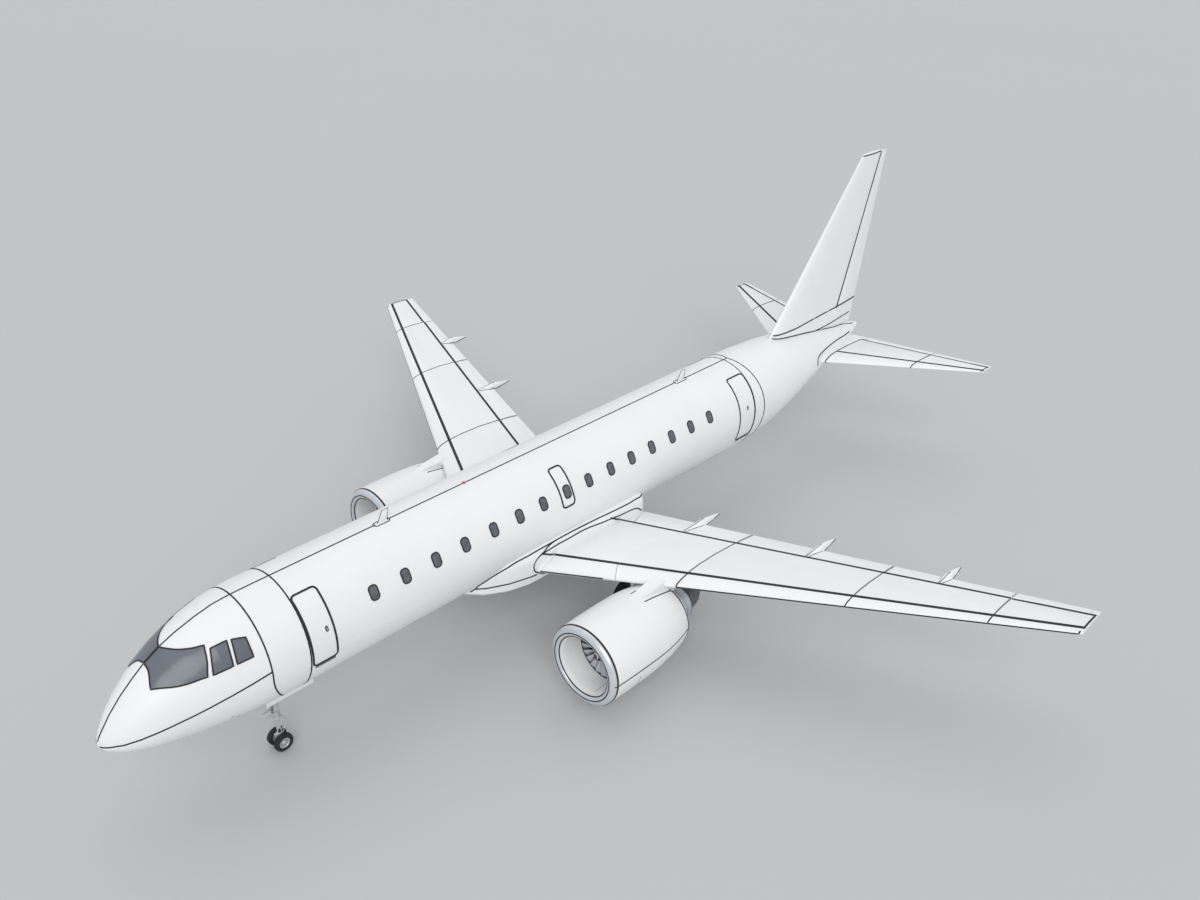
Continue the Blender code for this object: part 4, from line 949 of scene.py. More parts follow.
# Tail: lines of station over span or over height
STAB_LEAD = line_between((1.09, 31.43), (6.61, 35.81))
STAB_TRAIL = line_between((1.09, 35.25), (6.61, 36.689))
STAB_MIDDLE = line_between((1.09, 0.36), (6.61, 0.36))
ELEVATOR_LINE = line_between((1.21, 34.87), (6.55, 36.45))
STRIP_LINE = line_between((1.27, 32.60), (6.60, 35.98))
RUDDER_LINE = line_between((1.79, 34.00), (8.55, 35.98))
FIN_LEAD = line_between((1.85, 29.15), (8.54, 34.52))
STAB_RIB, STAB_TIP_RIB, FIN_TIP_RIB = 4.20, 6.53, 8.49
# Line beside the stabilizer's root: station and span
STAB_EDGE = ((31.66, 1.345), (32.2, 1.29), (33.4, 1.245), (34.86, 1.21))


def tail_lines():
    for name, side in SIDES:
        kit, moving = kits(2)
        rib, tip = STAB_RIB, STAB_TIP_RIB
        for face in (1, -1):
            kit.ribbon(span_path(tail_skin, STRIP_LINE, 0.0, 1.30, 6.58, side, face, 0.4), 0.080)
            kit.ribbon(span_path(tail_skin, ELEVATOR_LINE, -0.046, 1.24, 6.58, side, face, 0.4), 0.084)
            kit.ribbon([tail_skin(s, side * between(s, STAB_EDGE), face)
                        for s in spread_values(31.70, 34.86, 0.12)], 0.036)
            first, last = STAB_LEAD(rib) + 0.12, ELEVATOR_LINE(rib) - 0.04
            kit.ribbon(chord_path(tail_skin, rib, first, last, side, face), LINE)
        for span, reach in ((rib, 0.12), (1.345, 0.16)):
            kit.ribbon(lead_path(TAILS[side], STAB_LEAD, STAB_MIDDLE, span, side, reach), LINE)
        for face in (1, -1):
            first, last = STAB_LEAD(tip) + 0.04, STAB_TRAIL(tip) - 0.25
            kit.ribbon(chord_path(tail_skin, tip, first, last, side, face), LINE)
            first, last = ELEVATOR_LINE(rib) + 0.05, STAB_TRAIL(rib) - 0.02
            moving.ribbon(chord_path(tail_skin, rib, first, last, side, face, 0.08), 0.016)
        kit.lines("stabilizer_lines_" + name)
        moving.lines("elevator_line_" + name, FAINT, "elevator_" + name)


# Lines at the fin's foot (station, z) and where the stabilizers leave the tail (station, angle)
FIN_BASE = ((29.17, 1.885), (29.6, 1.862), (30.53, 1.861), (31.58, 1.898), (32.55, 1.92), (33.98, 1.901),
            (34.74, 1.887), (35.68, 1.885))
FIN_STEP = ((32.2, 1.268), (33.1, 1.226), (34.19, 1.228), (35.62, 1.231))
FIN_FOOT = ((29.16, 1.775), (29.6, 1.684), (30.56, 1.56), (31.69, 1.379), (32.76, 1.17), (33.79, 0.981),
            (35.0, 0.773), (35.75, 0.60))
STAB_ROOT = ((31.10, 14.0), (31.10, 22.0), (31.17, 27.0), (31.425, 30.8), (32.12, 35.7), (33.28, 40.7),
             (34.2, 42.9), (35.0, 48.2))


def fin_lines():
    kit = Kit()
    for side in (1, -1):
        for pairs, width, proud in ((FIN_BASE, 0.042, 0.012), (FIN_STEP, 0.036, 0.010),
                                    (FIN_FOOT, LINE, 0.010)):
            kit.ribbon(flank_path(pairs, side, FIN), width, proud=proud)
        heights = spread_values(1.84, 2.5, 0.05) + spread_values(2.6, 8.48, 0.4)
        kit.ribbon([fin_skin(RUDDER_LINE(z) - 0.036, z, side) for z in heights], 0.074, proud=0.012)
        first, last = FIN_LEAD(FIN_TIP_RIB) + 0.02, RUDDER_LINE(FIN_TIP_RIB) - 0.06
        kit.ribbon([fin_skin(s, FIN_TIP_RIB, side) for s in spread_values(first, last, 0.12)], 0.036)
        run = [hull(s, mirrored(angle, side)) for s, angle in flat_curve(STAB_ROOT, 6, end=False)]
        kit.ribbon(run, LINE, proud=0.012)
    kit.lines("fin_lines")


# Engines: profiles of station and radius about the engine's axis
ENGINE_Y = 5.42
ENGINE_Z = -2.46
LIP_OUT = ((12.45, 1.043), (12.405, 1.078), (12.38, 1.13), (12.375, 1.20), (12.41, 1.295),
           (12.47, 1.353), (12.545, 1.378))
NACELLE_OUT = ((12.552, 1.379), (13.2, 1.399), (14.0, 1.404), (14.6, 1.394), (15.05, 1.364), (15.45, 1.309),
               (15.85, 1.229), (16.22, 1.132))
COWL = (*LIP_OUT[3:], *NACELLE_OUT[1:])
NACELLE_IN = ((16.22, 1.113), (15.2, 1.08), (14.2, 1.03), (13.9, 1.0), (13.64, 0.998), (13.38, 0.998),
              (13.2, 0.999), (12.66, 1.008), (12.56, 1.018), (12.453, 1.042))
CORE_OUT = ((13.90, 0.66), (14.6, 0.76), (15.3, 0.79), (15.9, 0.80), (16.5, 0.72), (17.12, 0.56))
CORE_IN = ((17.12, 0.545), (16.95, 0.53), (16.95, 0.44))
PLUG_OUT = ((16.96, 0.43), (17.25, 0.435), (17.50, 0.42), (17.72, 0.355), (17.90, 0.26), (18.09, 0.145),
            (18.22, 0.05), (18.25, 0.0))
# Cowl's usual radius, station where the pylon's lines start, angle of the access panels
COWL_RADIUS = 1.38
PYLON_STATION = 14.90
PANEL_ANGLE = -48.0


def nacelle_skin(station, angle, side, profile=COWL):
    """Engine skin at an angle above the outboard horizontal."""
    out = Vector((0.0, side * math.cos(math.radians(angle)), math.sin(math.radians(angle))))
    return at(station, side * ENGINE_Y, ENGINE_Z) + out * between(station, profile), out


def engine_point(side, station, radius, turn):
    """Point about an engine's axis; the turn is in radians above the port horizontal."""
    return at(station, side * ENGINE_Y + radius * math.cos(turn), ENGINE_Z + radius * math.sin(turn))


def engine_ring(side, station, radius):
    return [engine_point(side, station, radius, turn) for turn in full_turn(72)]


def fine_profile(pairs):
    """Profile with smooth runs between its points."""
    return [(s, max(r, 0.0)) for s, r in flat_curve(pairs, 5)]


def engine_bodies():
    """Round lips, cowls, nozzles and plugs in place of the CAD ones, which have flat sides."""
    lip = fine_profile(LIP_OUT) + [(12.548, 1.34), (12.50, 1.09)]
    cowl = fine_profile(NACELLE_OUT) + fine_profile(NACELLE_IN) + [(12.51, 1.10)]
    core = [(13.90, 0.0)] + fine_profile(CORE_OUT) + list(CORE_IN) + [(16.95, 0.0)]
    plug = [(16.96, 0.0)] + fine_profile(PLUG_OUT)
    for name, side in SIDES:
        for piece, node, paint, profile, sides, loop, angle in (
                ("cowl_", "nacelle_", PAINT, cowl, 128, True, 35.0),
                ("lip_", "inlet_lip_", LIP, lip, 128, True, 50.0),
                ("nozzle_", "engine_core_", NOZZLE, core, 112, False, 35.0),
                ("plug_", "exhaust_plug_", PLUG, plug, 96, False, 35.0)):
            kit = Kit()
            kit.turned(at(0.0, side * ENGINE_Y, ENGINE_Z), -X, profile, sides, loop)
            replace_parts(kit.make(piece + name, paint, angle=angle), node + name)


LATCH_STATIONS = (13.85, 14.25, 14.65, 15.15, 15.6)


def engine_lines():
    """Seams of the lip and the cowl, lines beside the pylon, latches and the drain mast underneath."""
    for name, side in SIDES:
        bold, faint, latches = kits(3)

        def along(angle, first, last, step, side=side):
            return [nacelle_skin(s, angle, side) for s in spread_values(first, last, step)]

        ring = [nacelle_skin(12.556, a, side) for a in range(0, 360, 5)]
        bold.ribbon(ring, 0.050, proud=0.008, closed=True)
        for station, radius, thick in ((12.384, 1.170, 0.024), (12.446, 1.048, 0.022),
                                       (16.214, 1.124, 0.024)):
            bold.tube(engine_ring(side, station, radius), thick, 8, closed=True)
        for angle in (0.0, 180.0):
            bold.ribbon(along(angle, 12.57, 16.20, 0.12), 0.032)
            bold.ribbon(along(angle, 12.40, 12.54, 0.03), 0.026)
        for face in (1, -1):
            path = []
            for s in spread_values(PYLON_STATION, 16.20, 0.1):
                width = face * (0.29 + 0.06 * (s - PYLON_STATION) / 1.10)
                path.append(nacelle_skin(s, 90.0 - math.degrees(math.asin(width / COWL_RADIUS)), side))
            bold.ribbon(path, 0.030)
        for station in (13.62, 14.92):
            faint.ribbon([nacelle_skin(station, a, side) for a in range(-172, -6, 6)], HAIR)
        faint.ribbon(along(-90.0, 13.0, 16.15, 0.15), 0.014)
        for centre, half_s, stretch in ((14.25, 0.24, 9.0), (15.45, 0.20, 7.0)):
            outline = dense(rounded(half_s, 0.2, 0.06, 4), 0.08)
            faint.outline(outline, lambda u, v: nacelle_skin(
                centre + u, PANEL_ANGLE + math.degrees(v / COWL_RADIUS) * stretch / 8.0, side), HAIR)
        bold.lines("engine_lines_" + name)
        faint.lines("engine_panel_lines_" + name, FAINT)
        for station in LATCH_STATIONS:
            spot, out = nacelle_skin(station, -90.0, side)
            latches.box(spot + out * 0.004, (0.07, 0.026, 0.008))
        mast = nacelle_skin(15.8, -90.0, side)[0]
        latches.box(mast - Z * 0.05, (0.09, 0.008, 0.06))
        latches.make("cowl_latches_" + name, STEEL, smooth=False)


FAN_BLADES = 24
# Section of a fan blade: share of the chord, share of half the thickness
BLADE_SECTION = ((-0.5, 0.0), (-0.30, 0.8), (0.0, 1.0), (0.30, 0.7), (0.5, 0.0), (0.30, -0.5),
                 (0.0, -0.8), (-0.30, -0.6))
SPINNER_STATION = 12.98
SPINNER = ((0.0, 0.0), (0.010, 0.035), (0.035, 0.075), (0.09, 0.13), (0.18, 0.205), (0.28, 0.265),
           (0.37, 0.300), (0.40, 0.306), (0.60, 0.306), (0.62, 0.29), (0.62, 0.0))


def blade_rings(turn, side):
    """Sections of one fan blade from its root to its tip."""
    rings = []
    for k in range(8):
        share = k / 7.0
        radius = 0.30 + 0.672 * share
        stagger = math.radians(24.0 + 40.0 * share)
        chord = (0.185 - 0.03 * share) / math.cos(stagger)
        half_thick = 0.016 - 0.010 * share
        middle = 13.485 - 0.02 * share
        lean = turn + 0.10 * share * share
        section = []
        for u, w in BLADE_SECTION:
            along = u * chord
            across = w * half_thick + 0.10 * chord * (1.0 - 4.0 * u * u)
            station = middle + along * math.cos(stagger) - across * math.sin(stagger)
            swing = along * math.sin(stagger) + across * math.cos(stagger)
            section.append(engine_point(side, station, radius, lean + swing / radius))
        rings.append(section)
    return rings


def fans():
    for name, side in SIDES:
        blades, edges, spinner, spiral, back = kits(5)
        for turn in full_turn(FAN_BLADES):
            rings = blade_rings(turn, side)
            blades.loft(rings)
            edges.tube([ring[0] for ring in rings], 0.0045, 6)
        axis = at(SPINNER_STATION, side * ENGINE_Y, ENGINE_Z)
        spinner.turned(axis, -X, SPINNER, 64)
        path = []
        for k in range(49):
            share = k / 48.0
            distance = 0.03 + 0.22 * share
            spot = engine_point(side, SPINNER_STATION + distance, between(distance, SPINNER[:8]),
                                side * 2.6 * math.pi * share)
            path.append((spot, (spot - (axis - X * (distance + 0.1))).normalized()))
        spiral.ribbon(path, 0.022, proud=0.002, depth=0.004)
        # Near-black disc behind the blades: painted shade of the engine's inside, seen between the blades
        back.hoop(axis, -X, 0.605, 0.635, 0.20, 0.955, 64)
        body = "fan_" + name
        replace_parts(blades.make("fan_blades_" + name, BLADE, body=body, angle=50.0), body)
        edges.make("fan_blade_edges_" + name, STEEL, "fan_metal", body)
        spinner.make("fan_spinner_" + name, DARK_METAL, body=body)
        spiral.lines("fan_spiral_" + name, PAINT, body)
        back.make("fan_shade_disc_" + name, SEAM_AND_SHADE, "fan_metal", body)


def engine_inside():
    """Linings of the inlet duct, the guide vanes behind the core's face, and the nozzle's rings."""
    for name, side in SIDES:
        axis = at(0.0, side * ENGINE_Y, ENGINE_Z)
        liner, strip, vanes, rings, dark, seams = kits(6)
        liner.turned(axis, -X, ((12.675, 1.0085), (12.675, 1.0055), (13.20, 0.9965), (13.36, 0.9965),
                                (13.36, 0.9995), (13.20, 0.9995)), 96, loop=True)
        strip.hoop(axis, -X, 13.37, 13.635, 0.9995, 0.9945, 96)
        for angle in (40.0, 140.0, 290.0):
            turn = math.radians(angle)
            out = Vector((0.0, math.cos(turn), math.sin(turn)))
            path = [(axis + out * r - X * s, -out)
                    for s, r in ((12.68, 1.0052), (12.9, 1.0014), (13.2, 0.9962), (13.35, 0.9962))]
            rings.ribbon(path, 0.010, proud=0.001, depth=0.002)
        for turn in full_turn(36):
            out = Vector((0.0, math.cos(turn), math.sin(turn)))
            across = X.cross(out)
            vane = []
            for r in (0.70, 1.0):
                low, high = axis + out * r - X * 13.90, axis + out * r - X * 14.09
                vane.append([low + across * 0.03, (low + high) / 2 + across * 0.006, high,
                             (low + high) / 2 - across * 0.004])
            vanes.loft(vane)
        for thick, hoops in ((0.007, ((16.45, 0.735), (16.78, 0.652), (17.115, 0.5665))),
                             (0.005, ((17.25, 0.436), (17.72, 0.357), (18.09, 0.147)))):
            for station, radius in hoops:
                rings.tube(engine_ring(side, station, radius), thick, 6, closed=True)
        # Near-black ring across the bypass duct ahead of the guide vanes: painted shade of the duct's depths
        dark.hoop(axis, -X, 13.884, 13.892, 0.665, 0.998, 72)
        liner.make("duct_liner_" + name, INSIDE)
        strip.make("fan_rub_strip_" + name, FAINT)
        vanes.make("guide_vanes_" + name, STEEL, smooth=False)
        rings.make("nozzle_rings_" + name, SEAM_AND_SHADE, "nozzle_metal")
        dark.make("bypass_shade_face_" + name, SEAM_AND_SHADE, "fan_metal")
        for k in range(8):
            stations = spread_values(16.15, 17.08, 0.15)
            path = [nacelle_skin(s, 22.5 + 45.0 * k, side, CORE_OUT) for s in stations]
            seams.ribbon(path, 0.008, proud=0.002)
        seams.make("nozzle_seams_" + name, FAINT, "nozzle_metal", smooth=False)


# Landing gear
NOSE_GEAR = {"station": 4.95, "radius": 0.305, "track": 0.19, "width": 0.085,
             "grooves": (0.3, 0.0, -0.3), "sides": 72}
MAIN_GEAR = {"station": 17.55, "y": 2.97, "radius": 0.52, "track": 0.31, "width": 0.18,
             "grooves": (0.42, 0.14, -0.14, -0.42), "sides": 96}
BRACE_HEAD_Y = 2.10
LEG_DOOR_Y = 0.235
# Tyre wall and rim: share of half the width, share of the radius
TYRE_WALL = ((0.70, 0.560), (0.90, 0.62), (0.985, 0.72), (1.0, 0.79), (0.97, 0.87), (0.88, 0.935),
             (0.76, 0.972), (0.66, 0.988))
RIM_PROFILE = ((0.76, 0.585), (0.76, 0.545), (0.60, 0.50), (0.30, 0.47), (-0.30, 0.47), (-0.60, 0.50),
               (-0.76, 0.545), (-0.76, 0.585), (-0.66, 0.565), (-0.30, 0.52), (0.30, 0.52), (0.66, 0.565))
HUB_CAP = ((0.0, 0.21), (0.22, 0.205), (0.34, 0.17), (0.42, 0.13), (0.44, 0.0))
# Wheel discs: offset, inner radius, hole's radius, radius of the holes' circle
DISCS = ((0.34, 0.20, 0.062, 0.37), (-0.30, 0.22, 0.05, 0.38))
DISC_HOLES = 9
# Wheel bolts: offset, radius of their circle, count, radius, height
BOLT_RINGS = ((0.385, 0.275, 10, 0.022, 0.14), (0.56, 0.515, 18, 0.014, 0.10), (0.68, 0.15, 6, 0.016, 0.07))


def scaled(pairs, w, r):
    return [(a * w, b * r) for a, b in pairs]


def tyre_profile(r, w, grooves):
    """Closed outline of a tyre: distance from its middle plane, radius."""
    out = scaled(TYRE_WALL, w, r)
    groove = 0.035 * w
    for g in grooves:
        top = (1.0 - 0.010 * g * g) * r
        out += [(g * w + groove, top), (g * w + groove * 0.7, top - 0.022 * r),
                (g * w - groove * 0.7, top - 0.022 * r), (g * w - groove, top)]
    return out + scaled(reversed(TYRE_WALL), -w, r)


def holed_plate(kit, centre, axis, inner, outer, half, hole_radius, hole_circle):
    """Ring-shaped plate with round holes, made of equal sectors."""
    axis, u, v = axes_about(axis)
    span = math.pi / DISC_HOLES
    edge = [(outer, -span + 2.0 * span * k / 4) for k in range(5)]
    edge += [(outer + (inner - outer) * k / 3, span) for k in (1, 2)]
    edge += [(inner, span - 2.0 * span * k / 2) for k in range(3)]
    edge += [(inner + (outer - inner) * k / 3, -span) for k in (1, 2)]
    count = len(edge)
    for turn in full_turn(DISC_HOLES):
        middle = Vector((hole_circle * math.cos(turn), hole_circle * math.sin(turn)))
        rim = [Vector((r * math.cos(turn + a), r * math.sin(turn + a))) for r, a in edge]
        hole = [middle + (spot - middle).normalized() * hole_radius for spot in rim]
        points = [centre + u * p.x + v * p.y + axis * offset
                  for offset in (half, -half) for loop in (rim, hole) for p in loop]
        faces = []
        for i in range(count):
            j = (i + 1) % count
            faces.append((i, j, count + j, count + i))
            faces.append((2 * count + i, 3 * count + i, 3 * count + j, 2 * count + j))
            faces.append((count + i, count + j, 3 * count + j, 3 * count + i))
            if i < 4 or 6 <= i < 9:
                faces.append((i, 2 * count + i, 2 * count + j, j))
        kit.add(points, faces)


def bolts(kit, centre, axis, circle_radius, count, radius, height, sides=6):
    axis, u, v = axes_about(axis)
    for k in range(count):
        a = 2.0 * math.pi * (k + 0.5) / count
        spot = centre + circle_radius * (math.cos(a) * u + math.sin(a) * v)
        kit.turned(spot, axis, ((0.0, radius), (height * 0.8, radius), (height, radius * 0.7)), sides)


def wheel_pair(body, y, gear):
    tyres, rims, plates, studs, caps = kits(5)
    r, w, sides = gear["radius"], gear["width"], gear["sides"]
    for hand in (1, -1):
        centre = at(gear["station"], y + hand * gear["track"], r - AXIS_HEIGHT)
        axis = Y * hand
        tyres.turned(centre, axis, tyre_profile(r, w, gear["grooves"]), sides, loop=True)
        rims.turned(centre, axis, scaled(RIM_PROFILE, w, r), sides, loop=True)
        for offset, inner, hole, circle in DISCS:
            holed_plate(plates, centre + axis * offset * w, axis, inner * r, 0.49 * r, 0.05 * w, hole * r,
                        circle * r)
        caps.turned(centre + axis * 0.30 * w, axis, scaled(HUB_CAP, w, r), 40)
        for offset, circle, count, radius, height in BOLT_RINGS:
            bolts(studs, centre + axis * offset * w, axis, circle * r, count, radius * r, height * w)
    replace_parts(tyres.make(body + "_tyres", RUBBER, body=body, angle=28.0), body)
    rims.make(body + "_rims", RIM, body=body)
    plates.make(body + "_discs", RIM, body=body, smooth=False)
    caps.make(body + "_caps", STEEL, body=body)
    studs.make(body + "_bolts", STEEL, body=body, smooth=False)


def collar(inner, outer, chamfer, length):
    """Profile of a clamp with chamfered ends."""
    return (0.0, inner), (chamfer, outer), (length - chamfer, outer), (length, inner)


def torque_links(kit, top, apex, low, width, thick):
    """Pair of V-shaped links that meet at an apex pin."""
    def pin(centre, share, radius, sides):
        kit.tube([centre + Y * width * share, centre - Y * width * share], radius, sides)

    for a, b in ((top, apex), (low, apex)):
        for hand in (1, -1):
            kit.tube([a + Y * width * hand, b + Y * width * 0.35 * hand], thick, 8)
        pin(a + (b - a) * 0.35, 0.72, thick * 0.7, 8)
        pin(a, 1.15, thick * 1.25, 10)
    pin(apex, 0.7, thick * 1.3, 10)


def main_gear_details():
    for name, side in SIDES:
        chrome, steel, hoses, door, brakes, ribs = kits(6)

        def leg(z, aft=0.0, outboard=0.0, side=side):
            """Point at a height, aft and outboard of the leg's axis."""
            return at(MAIN_GEAR["station"] + aft, side * (MAIN_GEAR["y"] + outboard), z)

        chrome.turned(leg(-3.10), -Z, ((0.0, 0.103), (0.60, 0.103)), 40)
        sleeve = ((0.0, 0.158), (0.015, 0.166), (0.055, 0.166), (0.07, 0.15), (0.09, 0.118))
        steel.turned(leg(-3.02), -Z, sleeve, 40)
        for z in (-2.05, -2.55):
            steel.turned(leg(z), -Z, collar(0.152, 0.160, 0.008, 0.058), 40)
        steel.turned(leg(-3.70), -Z, ((0.0, 0.106), (0.02, 0.125), (0.12, 0.135)), 32)
        torque_links(steel, leg(-2.92, 0.14), leg(-3.36, 0.42), leg(-3.74, 0.12), 0.085, 0.020)
        steel.tube([leg(-2.30, 0.0, -0.04), leg(-1.72, 0.62, -0.45)], 0.035, 12)
        steel.tube([leg(-2.30, 0.0, -0.04), leg(-2.06, 0.26, -0.21)], 0.052, 12)
        foot, head = leg(-2.85, 0.0, -0.02), leg(-1.62, 0.0, BRACE_HEAD_Y - MAIN_GEAR["y"])
        middle = foot.lerp(head, 0.55)
        steel.turned(middle - (head - foot).normalized() * 0.08, head - foot,
                     collar(0.062, 0.085, 0.02, 0.16), 20)
        steel.tube([middle, leg(-2.15, -0.03, -0.12)], 0.022, 10)
        for offset, start in ((0.05, -1.75), (-0.05, -1.80), (0.0, -1.85)):
            bends = ((-0.165, 1.0, start), (-0.175, 1.0, -2.4), (-0.175, 1.0, -2.95), (-0.26, 1.6, -3.30),
                     (-0.20, 2.0, -3.62), (-0.10, 2.4, -3.80))
            hoses.tube([leg(z, aft, side * offset * share) for aft, share, z in bends], 0.011, 8)
        for z in (-2.2, -2.75):
            steel.box(leg(z, -0.16), (0.03, 0.085, 0.02))
        for hand in (1, -1):
            centre = leg(MAIN_GEAR["radius"] - AXIS_HEIGHT) + Y * hand * 0.088
            brakes.turned(centre, Y * hand, ((0.0, 0.131), (0.0, 0.205), (0.036, 0.215), (0.036, 0.131)), 40,
                          loop=True)
            bolts(brakes, centre - Y * hand * 0.028, Y * hand, 0.172, 7, 0.026, 0.034, 12)
        place = leg(-2.44, -0.02, LEG_DOOR_Y)
        door.loft([[place + Y * side * t + X * u + Z * v for u, v in rounded(0.36, 0.66, 0.06, 4)]
                   for t in (0.0, 0.022)])
        for z in (-2.0, -2.8):
            steel.tube([leg(z), leg(z, 0.0, LEG_DOOR_Y)], 0.022, 10)
        for z in (-2.9, -2.55, -2.2, -1.95):
            ribs.box(leg(z, -0.02, LEG_DOOR_Y - 0.009), (0.31, 0.008, 0.014))
        chrome.make("main_oleo_" + name, CHROME)
        steel.make("main_gear_fittings_" + name, STEEL)
        hoses.make("main_gear_hoses_" + name, HOSE)
        brakes.make("main_brakes_" + name, DARK_METAL, "gear_metal")
        door.make("main_leg_door_" + name, PAINT, angle=30.0)
        ribs.make("main_leg_door_ribs_" + name, BAY, smooth=False)


def nose_gear_details():
    fixed, lamps, lenses, hoses, turning, chrome = kits(6)

    def leg(z, aft=0.0, y=0.0):
        """Point at a height, aft and to port of the leg's axis."""
        return at(NOSE_GEAR["station"] + aft, y, z)

    for z in (-1.72, -2.35, -2.98):
        fixed.turned(leg(z), -Z, collar(0.097, 0.112, 0.01, 0.06), 36)
    for hand in (1, -1):
        jack = [leg(-2.92, aft, hand * 0.115) for aft in (-0.02, -0.30, -0.42)]
        fixed.tube(jack[:2], 0.030, 14)
        fixed.tube(jack[1:], 0.014, 10)
        fixed.tube([leg(-2.45), leg(-2.45, -0.13, hand * 0.15)], 0.016, 10)
        centre = leg(-2.45, -0.12, hand * 0.16)
        lamps.turned(centre, X, ((-0.06, 0.03), (-0.03, 0.065), (0.03, 0.075), (0.045, 0.075),
                                 (0.045, 0.066), (0.0, 0.05)), 32)
        lens = ((0.0, 0.066), (0.022, 0.064), (0.030, 0.04), (0.033, 0.0))
        lenses.turned(centre + X * 0.012, X, lens, 32)
        fixed.tube([leg(-2.60, 0.05, hand * 0.05), leg(-1.66, 0.72, hand * 0.16)], 0.016, 10)
        bends = ((-0.10, 0.035, -1.8), (-0.115, 0.035, -2.6), (-0.125, 0.04, -3.0))
        hoses.tube([leg(z, aft, hand * y) for aft, y, z in bends], 0.009, 8)
    fixed.make("nose_gear_fittings", STEEL)
    lamps.make("taxi_lamps", STEEL)
    lenses.make("taxi_lamp_lenses", CLEAR)
    hoses.make("nose_gear_hoses", HOSE)
    turning.turned(leg(-3.12), -Z, ((0.0, 0.0975), (0.0, 0.118), (0.09, 0.118), (0.10, 0.0975)), 36,
                   loop=True)
    torque_links(turning, leg(-3.17, 0.12), leg(-3.48, 0.30),
                 leg(NOSE_GEAR["radius"] - AXIS_HEIGHT + 0.20, 0.075), 0.05, 0.014)
    chrome.turned(leg(-3.27), -Z, ((0.0, 0.073), (0.52, 0.073)), 36)
    turning.turned(leg(-3.79), -Z, collar(0.078, 0.088, 0.02, 0.12), 32)
    turning.make("nose_steering_fittings", STEEL, body="nose_steering")
    chrome.make("nose_oleo", CHROME, body="nose_steering")


# Nose bay: first and last station, half width, roof, middle of the walls, half height of the walls
BAY_FIRST, BAY_LAST, BAY_HALF, BAY_ROOF, BAY_WALL, BAY_RISE = 4.45, 6.05, 0.42, -1.30, -1.53, 0.225
BAY_MIDDLE = (BAY_FIRST + BAY_LAST) / 2.0
# Main wheel wells' roofs
WELL_Y, WELL_Z = 0.72, -1.957


def nose_bay():
    """Linings, frames and pipes of the nose bay, and the doors' inner ribs."""
    lining, ribs, pipes, doors = kits(4)
    for hand in (1, -1):
        frame_y, door_y = hand * (BAY_HALF - 0.02), hand * (BAY_HALF + 0.014)
        lining.box(at(BAY_MIDDLE, hand * (BAY_HALF - 0.004), BAY_WALL), (0.79, 0.003, BAY_RISE))
        for s in spread_values(BAY_FIRST + 0.12, BAY_LAST - 0.12, 0.27):
            ribs.box(at(s, frame_y, BAY_WALL), (0.012, 0.014, BAY_RISE))
        ribs.box(at(BAY_MIDDLE, frame_y, -1.50), (0.78, 0.014, 0.010))
        for y, z, radius in ((0.34, -1.36, 0.014), (0.30, -1.345, 0.009)):
            ends = [at(s, hand * y, z) for s in (BAY_FIRST + 0.03, BAY_LAST - 0.03)]
            pipes.tube(ends, radius, 8)
        for s in spread_values(BAY_FIRST + 0.16, BAY_LAST - 0.16, 0.25):
            doors.box(at(s, door_y, -1.98), (0.011, 0.006, 0.21))
        for z in (-2.17, -1.84):
            doors.box(at(BAY_MIDDLE, door_y, z), (0.74, 0.006, 0.010))
    for y0, y1 in ((-0.41, -0.175), (0.175, 0.41)):
        lining.box(at(BAY_MIDDLE, (y0 + y1) / 2, BAY_ROOF - 0.004), (0.79, (y1 - y0) / 2, 0.003))
    for s in (BAY_FIRST + 0.004, BAY_LAST - 0.004):
        lining.box(at(s, 0.0, BAY_WALL), (0.003, 0.41, BAY_RISE))
    lining.make("nose_bay_lining", BAY, smooth=False)
    ribs.make("nose_bay_frames", BAY, smooth=False)
    pipes.make("nose_bay_pipes", STEEL)
    doors.make("nose_door_frames", BAY, smooth=False)


def wheel_wells():
    wells, ribs = kits(2)
    for hand in (1, -1):
        centre = at(MAIN_GEAR["station"], hand * WELL_Y, WELL_Z)
        wells.hoop(centre, -Z, 0.0, 0.004, 0.0, 0.572, 56, loop=False)
        ribs.hoop(centre, -Z, 0.004, 0.020, 0.50, 0.53, 56)
        ribs.turned(centre, -Z, ((0.004, 0.0), (0.004, 0.14), (0.024, 0.12), (0.024, 0.0)), 32)
        for k in range(6):
            a = math.radians(30.0 + 60.0 * k)
            out = Vector((math.cos(a), math.sin(a), 0.0))
            ribs.box(centre + out * 0.32 - Z * 0.012, (0.18, 0.012, 0.008), (out, Z.cross(out), Z))
    wells.make("wheel_well_roofs", BAY, smooth=False)
    ribs.make("wheel_well_ribs", STEEL, smooth=False)


# Small fittings. Hatches in the belly: stations, angles, side
HATCHES = ((8.4, 9.6, -52.0, -20.0, -1), (22.7, 23.75, -52.0, -20.0, -1), (6.35, 6.85, -60.0, -48.0, -1),
           (9.0, 9.5, -68.0, -54.0, 1), (22.0, 22.5, -66.0, -54.0, 1))
# Belly masts: distance under the skin, shares of the length at the front and at the back, half width
MAST_SECTIONS = ((-0.02, -0.5, 0.5, 0.020), (0.28, 0.1, 0.62, 0.007))


